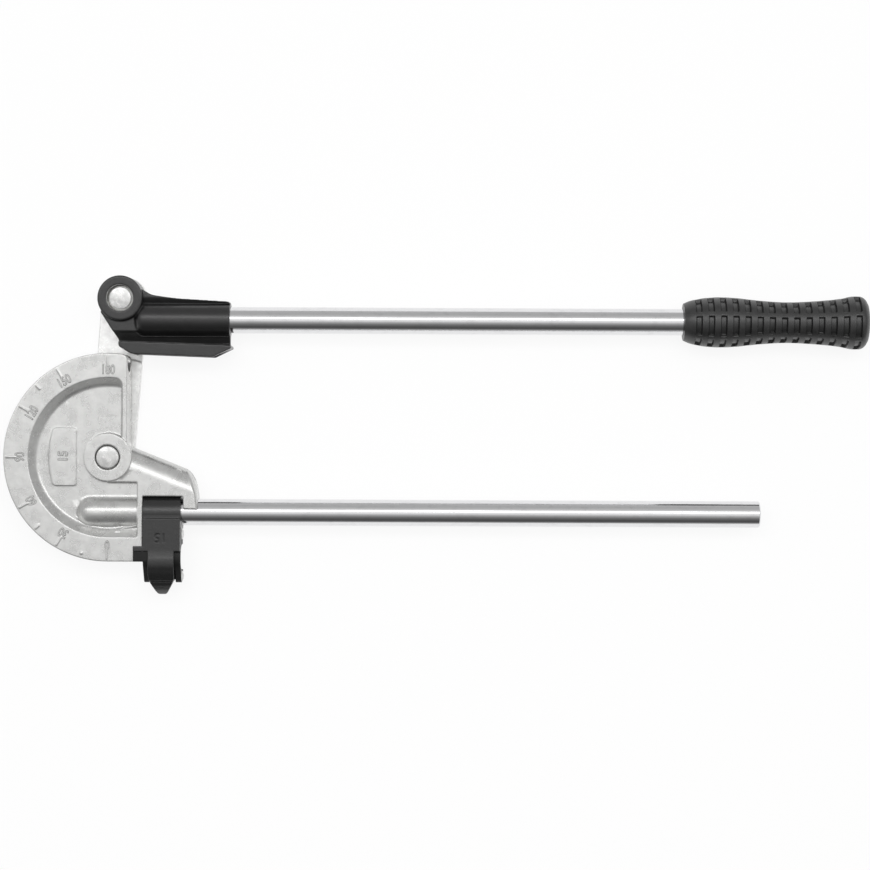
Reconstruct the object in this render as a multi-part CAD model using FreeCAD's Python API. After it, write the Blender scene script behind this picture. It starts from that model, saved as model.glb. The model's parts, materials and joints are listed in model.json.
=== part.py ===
"""Lever tube bender for one tube size, lying flat with its bend finished.

While it is modelled, the die's pivot is the origin, +X runs along the fixed handle, +Z points out of the
front face and z = 0 is the middle of the castings. Each piece is moved at the end, so that the origin is
the middle of the underside of the whole tool.
"""
import FreeCAD
import Part
import math
import os

V = FreeCAD.Vector
X_AXIS = V(1, 0, 0)
Z_AXIS = V(0, 0, 1)
FAR = 200.0

# The bend: the work tube, the radius of its centre line and the running clearance of every groove.
WORK_TUBE_R = 7.5
GROOVE_CLEAR = 0.1
BEND_R = 60.0
LIP_REACH = 2.4
CASTING_HALF = 10.0

# The handles.
HANDLE_R = 8.0
HANDLE_WALL = 1.5
HANDLE_DROP = 32.8
HANDLE_REACH = 391.2
HANDLE_SEAT = 16.0
HANDLE_END_BREAK = 0.7
LEVER_REACH = 448.0

# Clearances.
FIXED_FIT = 0.02
RUNNING_FIT = 0.05
FACE_GAP = 0.05
TURN_GAP = 0.3

# The form die.
RUN_OUT = 21.0
TOP_RUN = 11.6
TOP_WALL = 3.0
TOP_CORNER_R = 3.6
RIM_WALL = 4.6
RECESS_SLOPE = 4.5
RECESS_DEPTH = 4.5
RECESS_TOP = 14.8
RECESS_CORNER_R = 3.5
RUN_OUT_WALL = 3.2
PIVOT_BOSS_R = 14.3
PIVOT_BOSS_STEP = 0.5
RECESS_FOOT_R = 1.5
HANDLE_BOSS_WALL = 2.0
HANDLE_BOSS_LEFT = -20.2
HANDLE_BOSS_FLARE_R = 4.0
HANDLE_BOSS_INSET = 1.0

# The arm that carries the finger over the fixed handle.
ARM_ROOT = (15.0, 5.8)
ARM_TIP = (45.3, -6.3)
ARM_EDGE_R = 8.5
ARM_TIP_R = 7.0
FINGER_TAPER = 2.0
FINGER_LEFT = 45.3
FINGER_RIGHT = 54.2
FINGER_CUT = 2.1
NOTCH_RISE = 9.6
NOTCH_CLEAR = 0.7

# The scale round the rim: every mark as its angle past the zero mark, and its length.
MARK_INSET = 1.6
MARK_STEP = 30.0
MARK_COUNT = 7
MARK_LENGTH = 6.0
MINOR_MARKS = (45.0, 135.0)
MINOR_INSET = 1.8
MINOR_LENGTH = 3.2
DOT_MARK = 15.0
DOT_R = 0.7
MARK_WIDTH = 0.7
MARK_HEIGHT = 0.35
PLAQUE_GAP = 3.9
PLAQUE_WIDTH = 22.0
PLAQUE_LOW = -17.2
PLAQUE_HIGH = 17.5
PLAQUE_CORNER_R = 1.8
PLAQUE_HEIGHT = 0.45

# The pivot pins, their bushes and what holds them behind the link.
PIN_HEAD_R = 6.7
PIN_HEAD_LENGTH = 4.0
PIN_R = 5.0
PIN_CHAMFER = 0.5
BUSH_WALL = 1.2
DIE_SINK_R = 7.4
EYE_SINK_R = 7.9
EYE_PIN_SINK = 2.3
SINK_CHAMFER = 0.4
WASHER_R = 10.5
WASHER_THICK = 1.5
CIRCLIP_THICK = 1.0
CIRCLIP_R = 7.6
CIRCLIP_GAP = 2.0
CIRCLIP_GROOVE = 0.3
EAR_R = 1.6
EAR_HOLE_R = 0.7
EAR_SPREAD = 2.9
EAR_REACH = 6.9
PIN_TAIL = 1.4

# The link between the two pivots, stepped back where it passes behind the die.
LEVER_PIVOT_RISE = 35.65
PAST_180 = 4.15
LINK_THICK = 6.0
LINK_DIE_R = 13.3
LINK_LEVER_R = 13.8
LINK_STEP = 0.5
LINK_STEP_INSET = 2.1
THRUST_THICK = 0.45
DIE_THRUST_R = 13.0
LEVER_THRUST_R = 12.4
LINK_EDGE_BREAK = 0.5

# The lever head. A rise is counted from the bend's centre line, straight up from the die's pivot.
LEVER_OFFSET = 12.6
EYE_R = 13.5
EYE_RISE = 0.5
EYE_EDGE_R = 0.9
BARREL_WALL = 2.5
BARREL_LEFT = 15.1
BARREL_RIGHT = 72.5
BARREL_END_R = 6.0
BARREL_SOCKET = 22.0
WEB_HALF = 6.0
TRENCH_HALF = 2.2
TRENCH_TOP_RISE = 15.6
WEB_ROOT = 1.2
WEB_START_RISE = 9.0
WEB_TOP = ((18.0, 41.9), (25.0, 37.6, 14.0), (42.1, 35.2))
WEB_END_RISE = 33.1
WEB_END_R = 2.0
WEB_LEFT = ((4.9, 11.5), (-5.3, 27.3))
SHOE_TILT = 2.1
SHOE_GAP = 0.17
SHOE_TOP_LEFT = (6.05, 9.5)
SHOE_TOP_RIGHT = (73.2, 7.3)
SHOE_NOSE = (73.7, 5.6)
SHOE_NOSE_R = 0.8
SHOE_NOSE_END = 62.7
SHOE_HEEL = (6.3, 6.5)
SHOE_HEEL_R = 2.0
SHOE_SOLE_START = 13.4
SHOE_SOLE_R = 4.0

# The grip: wall over the tube at distances behind its front end, and its slots.
GRIP_FRONT = 344.9
GRIP_LENGTH = 110.8
GRIP_SHAPE = ((0.0, 3.2), (3.2, 4.6), (8.0, 5.8), (20.0, 7.1), (30.0, 6.8), (45.0, 5.25),
              (61.0, 4.25), (78.0, 4.9), (93.0, 6.3), (104.3, 8.0))
GRIP_DOME_MIDDLE = (1.1, 4.1)
GRIP_DOME_FACE = 0.1
GRIP_RINGS = 14
GRIP_FIRST_RING = 8.4
GRIP_RING_PITCH = 7.32
GRIP_SLOT_WIDTH = 3.2
GRIP_SLOT_DEPTH = 2.1
GRIP_RIBS = 6
GRIP_RIB_WIDTH = 3.0
GRIP_RIB_TURN = 18.0
GRIP_WALL_END = 4.0

# The latch. A past is counted downwards from the middle of the throat, where the work tube lies.
LATCH_LEFT = 21.3
LATCH_RIGHT = 43.8
LATCH_BARREL_WALL = 3.5
LATCH_FRONT_WALL = 0.9
LATCH_PLATE = 3.0
CREASE_DROP = 3.5
CREASE_DEPTH = 1.0
COVER_RIB_BACK = 3.2
COVER_RIB_PAST = 3.2
COVER_RIB_R = 3.0
CHEEK_LEFT = 3.1
CHEEK_RIGHT = 3.6
CHEEK_START_PAST = -4.0
CHEEK_OUTER_R = 10.4
CHEEK_BACK = 4.5
CHEEK_BACK_R = 2.0
LATCH_FIT = 0.1
INNER_GAP = 0.1
TONGUE_R = 13.4
TONGUE_INNER_R = 10.5
TONGUE_INNER_END = 82.0
TONGUE_TIP_PAST = 22.3
TONGUE_TIP_HALF = 3.5
TONGUE_TIP_R = 2.0
TONGUE_LIP_FRONT = 1.6
TONGUE_LIP_THICK = 2.4
TONGUE_LIP_EDGE_R = 0.9
TONGUE_LIP_ROOT = 1.6
TONGUE_NOSE_R = 3.0
TONGUE_TAPER_PAST = 14.0
TONGUE_TAPER_R = 8.0
FOOT_LEFT = 15.6
FOOT_TOP_PAST = -7.0
FOOT_END_PAST = 2.3
FOOT_GAP = 0.2
FOOT_THICK = 1.5
FOOT_EDGE_R = 0.6
RIVET_R = 2.0
RIVET_HEAD_R = 3.4
RIVET_HEAD_HEIGHT = 1.1
UPPER_RIVET_DROP = 13.2
LOWER_RIVET_PAST = 11.4
NOSE_BOSS_R = 3.8

# Spring pins that hold the two handles.
SPRING_PIN_R = 2.0
SPRING_PIN_BORE = 1.2
HANDLE_PIN_X = 4.0
LEVER_PIN_X = 58.0
SPRING_PIN_SINK = 0.3
SPRING_PIN_SLOT = 0.6

# Places that follow from the sizes above.
GROOVE_R = WORK_TUBE_R + GROOVE_CLEAR
LIP_R = BEND_R + LIP_REACH
RECESS_R = BEND_R - GROOVE_R - RIM_WALL
RECESS_FLOOR = CASTING_HALF - RECESS_DEPTH
PLAQUE_ARC_R = RECESS_R - RECESS_SLOPE - PLAQUE_GAP
PLAQUE_RIGHT = PLAQUE_WIDTH - PLAQUE_ARC_R
PIVOT_FACE = CASTING_HALF + PIVOT_BOSS_STEP
BUSH_R = PIN_R + RUNNING_FIT + BUSH_WALL
LINK_DIE_FACE = -(PIVOT_FACE + THRUST_THICK + FACE_GAP)
LINK_LEVER_FACE = LINK_DIE_FACE + LINK_STEP
LINK_BACK = LINK_LEVER_FACE - LINK_STEP - LINK_THICK
WASHER_BACK = LINK_BACK - WASHER_THICK
CIRCLIP_BACK = WASHER_BACK - CIRCLIP_THICK
PIN_END = CIRCLIP_BACK - PIN_TAIL
EYE_FACE = CASTING_HALF + EYE_RISE
PIVOT_SPACING = BEND_R + LEVER_PIVOT_RISE
LEVER_PIVOT = V(PIVOT_SPACING * math.sin(math.radians(PAST_180)),
                PIVOT_SPACING * math.cos(math.radians(PAST_180)), 0)
LEVER_Y = LEVER_PIVOT.y - LEVER_OFFSET
THROAT_DROP = BEND_R - HANDLE_DROP
TUBE_BORE_R = HANDLE_R - HANDLE_WALL
HANDLE_BOSS_R = HANDLE_R + HANDLE_BOSS_WALL
BARREL_R = HANDLE_R + BARREL_WALL
LATCH_BARREL_R = HANDLE_R + LATCH_BARREL_WALL
LATCH_FRONT = LATCH_BARREL_R + LATCH_FRONT_WALL
LATCH_BACK = LATCH_FRONT - LATCH_PLATE
NOTCH_R = LATCH_BARREL_R + NOTCH_CLEAR
CHEEK_START = THROAT_DROP + CHEEK_START_PAST
LOWER_RIVET_DROP = THROAT_DROP + LOWER_RIVET_PAST
FOOT_FRONT = CASTING_HALF + FOOT_GAP


def rod(radius, start, end):
    """Round bar from one point to another."""
    start = V(*start)
    along = V(*end) - start
    return Part.makeCylinder(radius, along.Length, start, along)


def block(x0, x1, y0, y1, z0, z1):
    """Box between two corners."""
    return Part.makeBox(x1 - x0, y1 - y0, z1 - z0, V(x0, y0, z0))


def flat(a, b):
    """Point of an outline that is drawn in the XY plane."""
    return V(a, b, 0)


def outline(corners, place=flat):
    """Closed wire through corners (a, b).

    A corner (a, b, r) is rounded by radius r. A corner (a, b, 0, (c, d)) is left along an arc through
    (c, d).
    """
    count = len(corners)
    ends = []
    for i, corner in enumerate(corners):
        here = place(corner[0], corner[1])
        radius = corner[2] if len(corner) > 2 else 0
        before = place(corners[i - 1][0], corners[i - 1][1])
        after = place(corners[(i + 1) % count][0], corners[(i + 1) % count][1])
        back = (before - here).normalize()
        ahead = (after - here).normalize()
        if radius == 0:
            ends.append((here, None, here))
            continue
        half = math.acos(back.dot(ahead)) / 2
        trim = radius / math.tan(half)
        middle = (back + ahead).normalize()
        crown = here + middle * (radius / math.sin(half) - radius)
        ends.append((here + back * trim, crown, here + ahead * trim))
    edges = []
    for i, (_, _, leave) in enumerate(ends):
        arrive, crown, onward = ends[(i + 1) % count]
        if len(corners[i]) > 3:
            edges.append(Part.Arc(leave, place(*corners[i][3]), arrive).toShape())
        elif (arrive - leave).Length > 1e-6:
            edges.append(Part.LineSegment(leave, arrive).toShape())
        if crown is not None:
            edges.append(Part.Arc(arrive, crown, onward).toShape())
    return Part.Wire(edges)


def plate(corners, z0, z1):
    """Flat piece with the outline of the corners, between two heights."""
    face = Part.Face(outline(corners))
    face.translate(V(0, 0, z0))
    return face.extrude(V(0, 0, z1 - z0))


def across(corners, x0, x1):
    """Piece whose section is drawn as (drop below the fixed handle, z) and runs along X."""
    face = Part.Face(outline(corners, lambda drop, z: V(x0, -HANDLE_DROP - drop, z)))
    return face.extrude(V(x1 - x0, 0, 0))


def belt(first, first_r, second, second_r):
    """Corners of the outline round two circles with their common tangents."""
    span = math.hypot(second[0] - first[0], second[1] - first[1])
    heading = math.atan2(second[1] - first[1], second[0] - first[0])
    lean = math.acos((first_r - second_r) / span)
    points = []
    for centre, radius, sides in ((first, first_r, (1, -1)), (second, second_r, (-1, 1))):
        for side in sides:
            angle = heading + side * lean
            points.append((centre[0] + radius * math.cos(angle), centre[1] + radius * math.sin(angle)))
    return points


def ring(outer_r, inner_r, z0, z1, centre=V(0, 0, 0)):
    """Flat ring about a vertical axis."""
    base = centre + V(0, 0, z0)
    solid = Part.makeCylinder(outer_r, z1 - z0, base)
    return solid.cut(Part.makeCylinder(inner_r, z1 - z0, base))


def revolved(points, axis_point, axis, angle=360.0):
    """Solid turned from a closed section."""
    return Part.Face(Part.makePolygon(points + [points[0]])).revolve(axis_point, axis, angle)


def fused(*shapes):
    """One solid from pieces that overlap, with its faces tidied."""
    return shapes[0].multiFuse(list(shapes[1:])).removeSplitter()


def edges_where(shape, test):
    """Edges whose middle point passes the test."""
    found = []
    for edge in shape.Edges:
        middle = edge.valueAt((edge.FirstParameter + edge.LastParameter) / 2)
        if test(middle, edge):
            found.append(edge)
    return found


def both_faces(tool):
    """A cutting tool and its mirror image for the back face."""
    return tool.multiFuse([tool.mirror(V(0, 0, 0), Z_AXIS)])


def bend_groove():
    """Groove for the work tube: round the rim, then straight on past the zero mark."""
    torus = Part.makeTorus(BEND_R, GROOVE_R)
    mouth = ring(LIP_R + FAR, BEND_R, -GROOVE_R, GROOVE_R)
    behind = block(-FAR, FAR, 0, FAR, -FAR, FAR).fuse(block(-FAR, 0, -FAR, 0, -FAR, FAR))
    turned = torus.fuse(mouth).common(behind)
    straight = rod(GROOVE_R, (0, -BEND_R, 0), (FAR, -BEND_R, 0))
    straight_mouth = block(0, FAR, -FAR, -BEND_R, -GROOVE_R, GROOVE_R)
    return turned.multiFuse([straight, straight_mouth])


def on_slope(point, floor_r):
    """Whether a point lies at the foot of the recess's sloped wall."""
    if point.x > 0 and point.y < 0:
        return abs(point.y + floor_r) < 0.01
    return abs(math.hypot(point.x, point.y) - floor_r) < 0.01


def front_recess():
    """Sunk part of the die's face, with its sloped outer wall, less the two bosses."""
    slope_end = CASTING_HALF + RECESS_SLOPE
    floor_r = RECESS_R - RECESS_SLOPE
    cone = Part.makeCone(floor_r, floor_r + 2 * RECESS_SLOPE, 2 * RECESS_DEPTH, V(0, 0, RECESS_FLOOR))
    top_x = TOP_RUN - TOP_WALL
    plan = plate([(-FAR, -FAR), (0, -FAR), (0, 0), (top_x, 0), (top_x, FAR), (-FAR, FAR)],
                 RECESS_FLOOR, slope_end)
    turned = cone.common(plan)
    corner = edges_where(turned, lambda p, e: abs(p.x - top_x) < 0.01 and p.y > floor_r - 2
                         and RECESS_FLOOR + 0.5 < p.z < slope_end - 0.5)
    turned = turned.makeFillet(RECESS_CORNER_R, corner)
    run_x = RUN_OUT - RUN_OUT_WALL
    section = [V(0, -RECESS_TOP, RECESS_FLOOR), V(0, -floor_r, RECESS_FLOOR),
               V(0, -floor_r - 2 * RECESS_SLOPE, RECESS_FLOOR + 2 * RECESS_DEPTH),
               V(0, -RECESS_TOP, RECESS_FLOOR + 2 * RECESS_DEPTH)]
    straight = Part.Face(Part.makePolygon(section + [section[0]])).extrude(V(run_x, 0, 0))
    whole = turned.fuse(straight).removeSplitter()
    foot = edges_where(whole, lambda p, e: abs(p.z - RECESS_FLOOR) < 0.01 and on_slope(p, floor_r))
    whole = whole.makeFillet(RECESS_FOOT_R, foot)
    return whole.cut(Part.makeCylinder(PIVOT_BOSS_R, FAR, V(0, 0, -FAR / 2)))


def handle_boss():
    """Rounded boss that encloses the fixed handle inside the recess, and flares into the recess floor."""
    left = HANDLE_BOSS_LEFT + HANDLE_BOSS_R
    right = RUN_OUT - HANDLE_BOSS_INSET
    ball = Part.makeSphere(HANDLE_BOSS_R, V(left, -HANDLE_DROP, 0))
    bar = rod(HANDLE_BOSS_R, (left, -HANDLE_DROP, 0), (right, -HANDLE_DROP, 0))
    hub = RECESS_FLOOR + HANDLE_BOSS_FLARE_R
    reach = math.sqrt((HANDLE_BOSS_R + HANDLE_BOSS_FLARE_R) ** 2 - hub ** 2)
    share = HANDLE_BOSS_R / (HANDLE_BOSS_R + HANDLE_BOSS_FLARE_R)
    lean = (math.atan2(-hub, -reach) - math.pi / 2) / 2
    bend = (reach + HANDLE_BOSS_FLARE_R * math.cos(lean), hub + HANDLE_BOSS_FLARE_R * math.sin(lean))
    section = [(0, 0), (0, hub * share), (reach * share, hub * share, 0, bend), (reach, RECESS_FLOOR),
               (reach, 0)]
    flank = Part.Face(outline(section, lambda a, z: V(left, -HANDLE_DROP + a, z)))
    side = flank.extrude(V(right - left, 0, 0))
    other = side.mirror(V(0, -HANDLE_DROP, 0), V(0, 1, 0))
    end = flank.revolve(V(left, -HANDLE_DROP, 0), Z_AXIS, 180)
    return ball.multiFuse([bar, both_faces(side.multiFuse([other, end]))])


def arm():
    """Arm with its rounded shoulder and the finger over the fixed handle."""
    slope = math.atan2(ARM_TIP[1] - ARM_ROOT[1], ARM_TIP[0] - ARM_ROOT[0])
    root_y = ARM_ROOT[1] - ARM_ROOT[0] * math.tan(slope)
    corner_x = FINGER_RIGHT - FINGER_TAPER
    corner_y = ARM_ROOT[1] + (corner_x - ARM_ROOT[0]) * math.tan(slope)
    finger_end = -(HANDLE_DROP - FINGER_CUT)
    plan = plate([(0, root_y), (corner_x, corner_y, ARM_TIP_R), (FINGER_RIGHT, finger_end),
                  (0, finger_end)], -CASTING_HALF, CASTING_HALF)
    section = Part.Face(outline([(0, CASTING_HALF, ARM_EDGE_R), (0, -CASTING_HALF, ARM_EDGE_R),
                                 (-FAR / 2, -CASTING_HALF), (-FAR / 2, CASTING_HALF)]))
    section.Placement = FreeCAD.Placement(
        V(0, root_y, 0), FreeCAD.Rotation(V(-math.sin(slope), math.cos(slope), 0), V(0, 0, 1),
                                          V(math.cos(slope), math.sin(slope), 0), "XYZ"))
    along = V(math.cos(slope), math.sin(slope), 0) * FAR
    return plan.common(section.extrude(along))


def latch_notch():
    """Room in the arm for the latch to swing on the fixed handle."""
    opening = block(RUN_OUT, FINGER_LEFT, -FAR, -(HANDLE_DROP - NOTCH_RISE), -FAR, FAR)
    return opening.fuse(rod(NOTCH_R, (RUN_OUT, -HANDLE_DROP, 0), (FINGER_LEFT, -HANDLE_DROP, 0)))


def scale_mark(angle, outer_r, length):
    """Raised bar of the scale at an angle past the zero mark."""
    bar = block(-MARK_WIDTH / 2, MARK_WIDTH / 2, -outer_r, -outer_r + length,
                CASTING_HALF - MARK_HEIGHT, CASTING_HALF + MARK_HEIGHT)
    bar.rotate(V(0, 0, 0), Z_AXIS, -angle)
    return bar


def scale():
    """Every raised mark of the degree scale."""
    marks = [scale_mark(MARK_STEP * i, LIP_R - MARK_INSET, MARK_LENGTH) for i in range(MARK_COUNT)]
    marks += [scale_mark(angle, LIP_R - MINOR_INSET, MINOR_LENGTH) for angle in MINOR_MARKS]
    dot = Part.makeCylinder(DOT_R, 2 * MARK_HEIGHT, V(0, -BEND_R + DOT_R, CASTING_HALF - MARK_HEIGHT))
    dot.rotate(V(0, 0, 0), Z_AXIS, -DOT_MARK)
    return marks + [dot]


def plaque():
    """Raised panel on the recess floor, its left side following the rim."""
    panel = plate([(-PLAQUE_ARC_R, PLAQUE_LOW), (PLAQUE_RIGHT, PLAQUE_LOW, PLAQUE_CORNER_R),
                   (PLAQUE_RIGHT, PLAQUE_HIGH, PLAQUE_CORNER_R), (-PLAQUE_ARC_R, PLAQUE_HIGH)],
                  RECESS_FLOOR - PLAQUE_HEIGHT, RECESS_FLOOR + PLAQUE_HEIGHT)
    panel = panel.common(Part.makeCylinder(PLAQUE_ARC_R, FAR, V(0, 0, -FAR / 2)))
    corners = edges_where(panel, lambda p, e: abs(p.z - RECESS_FLOOR) < 0.01
                          and abs(math.hypot(p.x, p.y) - PLAQUE_ARC_R) < 0.01)
    return panel.makeFillet(PLAQUE_CORNER_R, corners)


def sunk_hole(bore_r, sink_r, sink_floor, face, centre):
    """Through hole with a counterbore for a pin's head and a broken edge."""
    hole = Part.makeCylinder(bore_r, FAR, centre + V(0, 0, -FAR / 2))
    sink = Part.makeCylinder(sink_r, FAR, centre + V(0, 0, sink_floor))
    flare = Part.makeCone(sink_r, sink_r + SINK_CHAMFER, SINK_CHAMFER,
                          centre + V(0, 0, face - SINK_CHAMFER))
    return hole.multiFuse([sink, flare])


def form_die():
    """Cast die with the bending groove, the recess, the bosses, the arm and the scale."""
    disc = Part.makeCylinder(LIP_R, 2 * CASTING_HALF, V(0, 0, -CASTING_HALF))
    disc = disc.common(block(-FAR, TOP_RUN, -FAR, FAR, -FAR, FAR))
    corner = edges_where(disc, lambda p, e: abs(p.x - TOP_RUN) < 0.01 and p.y > 0 and abs(p.z) < 0.01)
    disc = disc.makeFillet(TOP_CORNER_R, corner)
    run_out = block(0, RUN_OUT, -LIP_R, -PIVOT_BOSS_R / 2, -CASTING_HALF, CASTING_HALF)
    body = fused(disc, run_out, arm())
    body = body.cut(both_faces(front_recess()))
    boss = Part.makeCylinder(PIVOT_BOSS_R, 2 * PIVOT_FACE, V(0, 0, -PIVOT_FACE))
    body = fused(body, boss, handle_boss())
    body = body.cut(bend_groove()).cut(latch_notch())
    body = body.cut(rod(HANDLE_R + FIXED_FIT, (-HANDLE_SEAT, -HANDLE_DROP, 0), (FAR, -HANDLE_DROP, 0)))
    body = body.cut(rod(SPRING_PIN_R + FIXED_FIT, (HANDLE_PIN_X, -HANDLE_DROP, -FAR),
                        (HANDLE_PIN_X, -HANDLE_DROP, HANDLE_R + FIXED_FIT)))
    body = body.cut(sunk_hole(BUSH_R + FIXED_FIT, DIE_SINK_R, PIVOT_FACE - PIN_HEAD_LENGTH, PIVOT_FACE,
                              V(0, 0, 0)))
    return fused(body, plaque(), *scale())


def fixed_handle():
    """Plated tube that the tool is held or clamped by, bare at its free end."""
    tube = rod(HANDLE_R, (-HANDLE_SEAT + TURN_GAP, -HANDLE_DROP, 0), (HANDLE_REACH, -HANDLE_DROP, 0))
    rim = edges_where(tube, lambda p, e: abs(p.x - HANDLE_REACH) < 0.01)
    tube = tube.makeChamfer(HANDLE_END_BREAK, rim)
    tube = tube.cut(rod(TUBE_BORE_R, (-FAR, -HANDLE_DROP, 0), (HANDLE_REACH + FAR, -HANDLE_DROP, 0)))
    return tube.cut(rod(SPRING_PIN_R + FIXED_FIT, (HANDLE_PIN_X, -HANDLE_DROP, -FAR),
                        (HANDLE_PIN_X, -HANDLE_DROP, FAR)))


def spring_pin(x, y, back, front):
    """Slotted spring pin that stands across a handle."""
    pin = ring(SPRING_PIN_R, SPRING_PIN_BORE, back, front, V(x, y, 0))
    slot = block(x - SPRING_PIN_SLOT / 2, x + SPRING_PIN_SLOT / 2, y, y + FAR, -FAR, FAR)
    return pin.cut(slot)


def bush(centre, back, front):
    """Bearing bush pressed into a casting."""
    return ring(BUSH_R, PIN_R + RUNNING_FIT, back, front, centre)


def pivot_pin(centre, head_face):
    """Headed pin with its tail grooved for a circlip."""
    shoulder = head_face - PIN_HEAD_LENGTH + FACE_GAP
    section = [V(0, 0, PIN_END), V(PIN_R - PIN_CHAMFER, 0, PIN_END), V(PIN_R, 0, PIN_END + PIN_CHAMFER),
               V(PIN_R, 0, CIRCLIP_BACK), V(PIN_R - CIRCLIP_GROOVE, 0, CIRCLIP_BACK),
               V(PIN_R - CIRCLIP_GROOVE, 0, WASHER_BACK), V(PIN_R, 0, WASHER_BACK),
               V(PIN_R, 0, shoulder), V(PIN_HEAD_R, 0, shoulder), V(PIN_HEAD_R, 0, head_face - PIN_CHAMFER),
               V(PIN_HEAD_R - PIN_CHAMFER, 0, head_face), V(0, 0, head_face)]
    pin = revolved(section, V(0, 0, 0), Z_AXIS)
    pin.translate(centre)
    return pin


def link_plate():
    """Flat link, stepped back below the line where the die's rim passes in front of it."""
    far_end = (LEVER_PIVOT.x, LEVER_PIVOT.y)
    between = plate(belt((0, 0), LINK_DIE_R, far_end, LINK_LEVER_R), LINK_BACK, LINK_LEVER_FACE)
    ends = [Part.makeCylinder(radius, LINK_LEVER_FACE - LINK_BACK, centre + V(0, 0, LINK_BACK))
            for radius, centre in ((LINK_DIE_R, V(0, 0, 0)), (LINK_LEVER_R, LEVER_PIVOT))]
    link = fused(between, *ends)
    link = link.cut(Part.makeCylinder(LIP_R - LINK_STEP_INSET, FAR, V(0, 0, LINK_DIE_FACE)))
    rims = edges_where(link, lambda p, e: abs(p.z - LINK_BACK) < 0.01)
    link = link.makeChamfer(LINK_EDGE_BREAK, rims)
    for centre in (V(0, 0, 0), LEVER_PIVOT):
        link = link.cut(Part.makeCylinder(PIN_R + FIXED_FIT, FAR, centre + V(0, 0, -FAR / 2)))
    return link


def circlip(centre):
    """Retaining ring with its two eared ends."""
    clip = ring(CIRCLIP_R, PIN_R - CIRCLIP_GROOVE + FIXED_FIT, CIRCLIP_BACK + FIXED_FIT, WASHER_BACK)
    ears = [V(side * EAR_SPREAD, EAR_REACH, CIRCLIP_BACK + FIXED_FIT) for side in (-1, 1)]
    clip = fused(clip, *[Part.makeCylinder(EAR_R, CIRCLIP_THICK - FIXED_FIT, ear) for ear in ears])
    clip = clip.cut(block(-CIRCLIP_GAP / 2, CIRCLIP_GAP / 2, 0, FAR, -FAR, FAR))
    for ear in ears:
        clip = clip.cut(Part.makeCylinder(EAR_HOLE_R, CIRCLIP_THICK, ear))
    clip.translate(centre)
    return clip


def raised(corner):
    """Corner of the lever head's outline, with its rise above the bend's centre line made a place."""
    return (corner[0], BEND_R + corner[1], *corner[2:])


def lever_head():
    """Cast head with the pivot eye, the barrel of the lever tube and the grooved shoe."""
    eye = Part.makeCylinder(EYE_R, CASTING_HALF + EYE_FACE, LEVER_PIVOT + V(0, 0, -CASTING_HALF))
    eye = eye.makeFillet(EYE_EDGE_R, edges_where(eye, lambda p, e: abs(p.z - EYE_FACE) < 0.01))
    barrel = rod(BARREL_R, (BARREL_LEFT, LEVER_Y, 0), (BARREL_RIGHT, LEVER_Y, 0))
    barrel_end = edges_where(barrel, lambda p, e: abs(p.x - BARREL_LEFT) < 0.01)
    barrel = barrel.makeFillet(BARREL_END_R, barrel_end)
    start = (LEVER_PIVOT.x, LEVER_PIVOT.y + WEB_START_RISE)
    root = [(BARREL_RIGHT, SHOE_TOP_RIGHT[1] - WEB_ROOT), (SHOE_TOP_LEFT[0], SHOE_TOP_LEFT[1] - WEB_ROOT)]
    end = (BARREL_RIGHT, WEB_END_RISE, WEB_END_R)
    corners = [raised(corner) for corner in (*WEB_TOP, end, *root, *WEB_LEFT)]
    web = plate([start, *corners], -WEB_HALF, WEB_HALF)
    trench_top = BEND_R + TRENCH_TOP_RISE
    trench = block(0, FAR, 0, trench_top, -FAR, -TRENCH_HALF).fuse(
        block(0, FAR, 0, trench_top, TRENCH_HALF, FAR))
    web = web.cut(trench)
    head = fused(eye, web, barrel, shoe())
    head = head.common(block(-FAR, FAR, -FAR, FAR, -CASTING_HALF, FAR))
    head = head.cut(rod(HANDLE_R + FIXED_FIT, (BARREL_SOCKET, LEVER_Y, 0), (FAR, LEVER_Y, 0)))
    head = head.cut(rod(SPRING_PIN_R + FIXED_FIT, (LEVER_PIN_X, LEVER_Y, -FAR),
                        (LEVER_PIN_X, LEVER_Y, HANDLE_R + FIXED_FIT)))
    eye_floor = EYE_FACE - EYE_PIN_SINK - PIN_HEAD_LENGTH
    return head.cut(sunk_hole(BUSH_R + FIXED_FIT, EYE_SINK_R, eye_floor, EYE_FACE, LEVER_PIVOT))


def shoe():
    """Shoe whose groove closes over the work tube, with its lips just clear of the die's."""
    tilt = math.radians(SHOE_TILT)
    outward = V(math.sin(tilt), math.cos(tilt), 0)
    along = V(math.cos(tilt), -math.sin(tilt), 0)
    lip = LIP_R + SHOE_GAP
    sole = [(x, (lip - x * outward.x) / outward.y) for x in (SHOE_SOLE_START, SHOE_NOSE_END)]
    heel = (*SHOE_HEEL, SHOE_HEEL_R)
    nose = (*SHOE_NOSE, SHOE_NOSE_R)
    foot = plate([raised(SHOE_TOP_LEFT), raised(heel), (*sole[0], SHOE_SOLE_R), sole[1], raised(nose),
                  raised(SHOE_TOP_RIGHT)], -CASTING_HALF, CASTING_HALF)
    centre = outward * BEND_R
    groove = Part.makeCylinder(GROOVE_R, 2 * FAR, centre - along * FAR, along)
    return foot.cut(groove)


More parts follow.
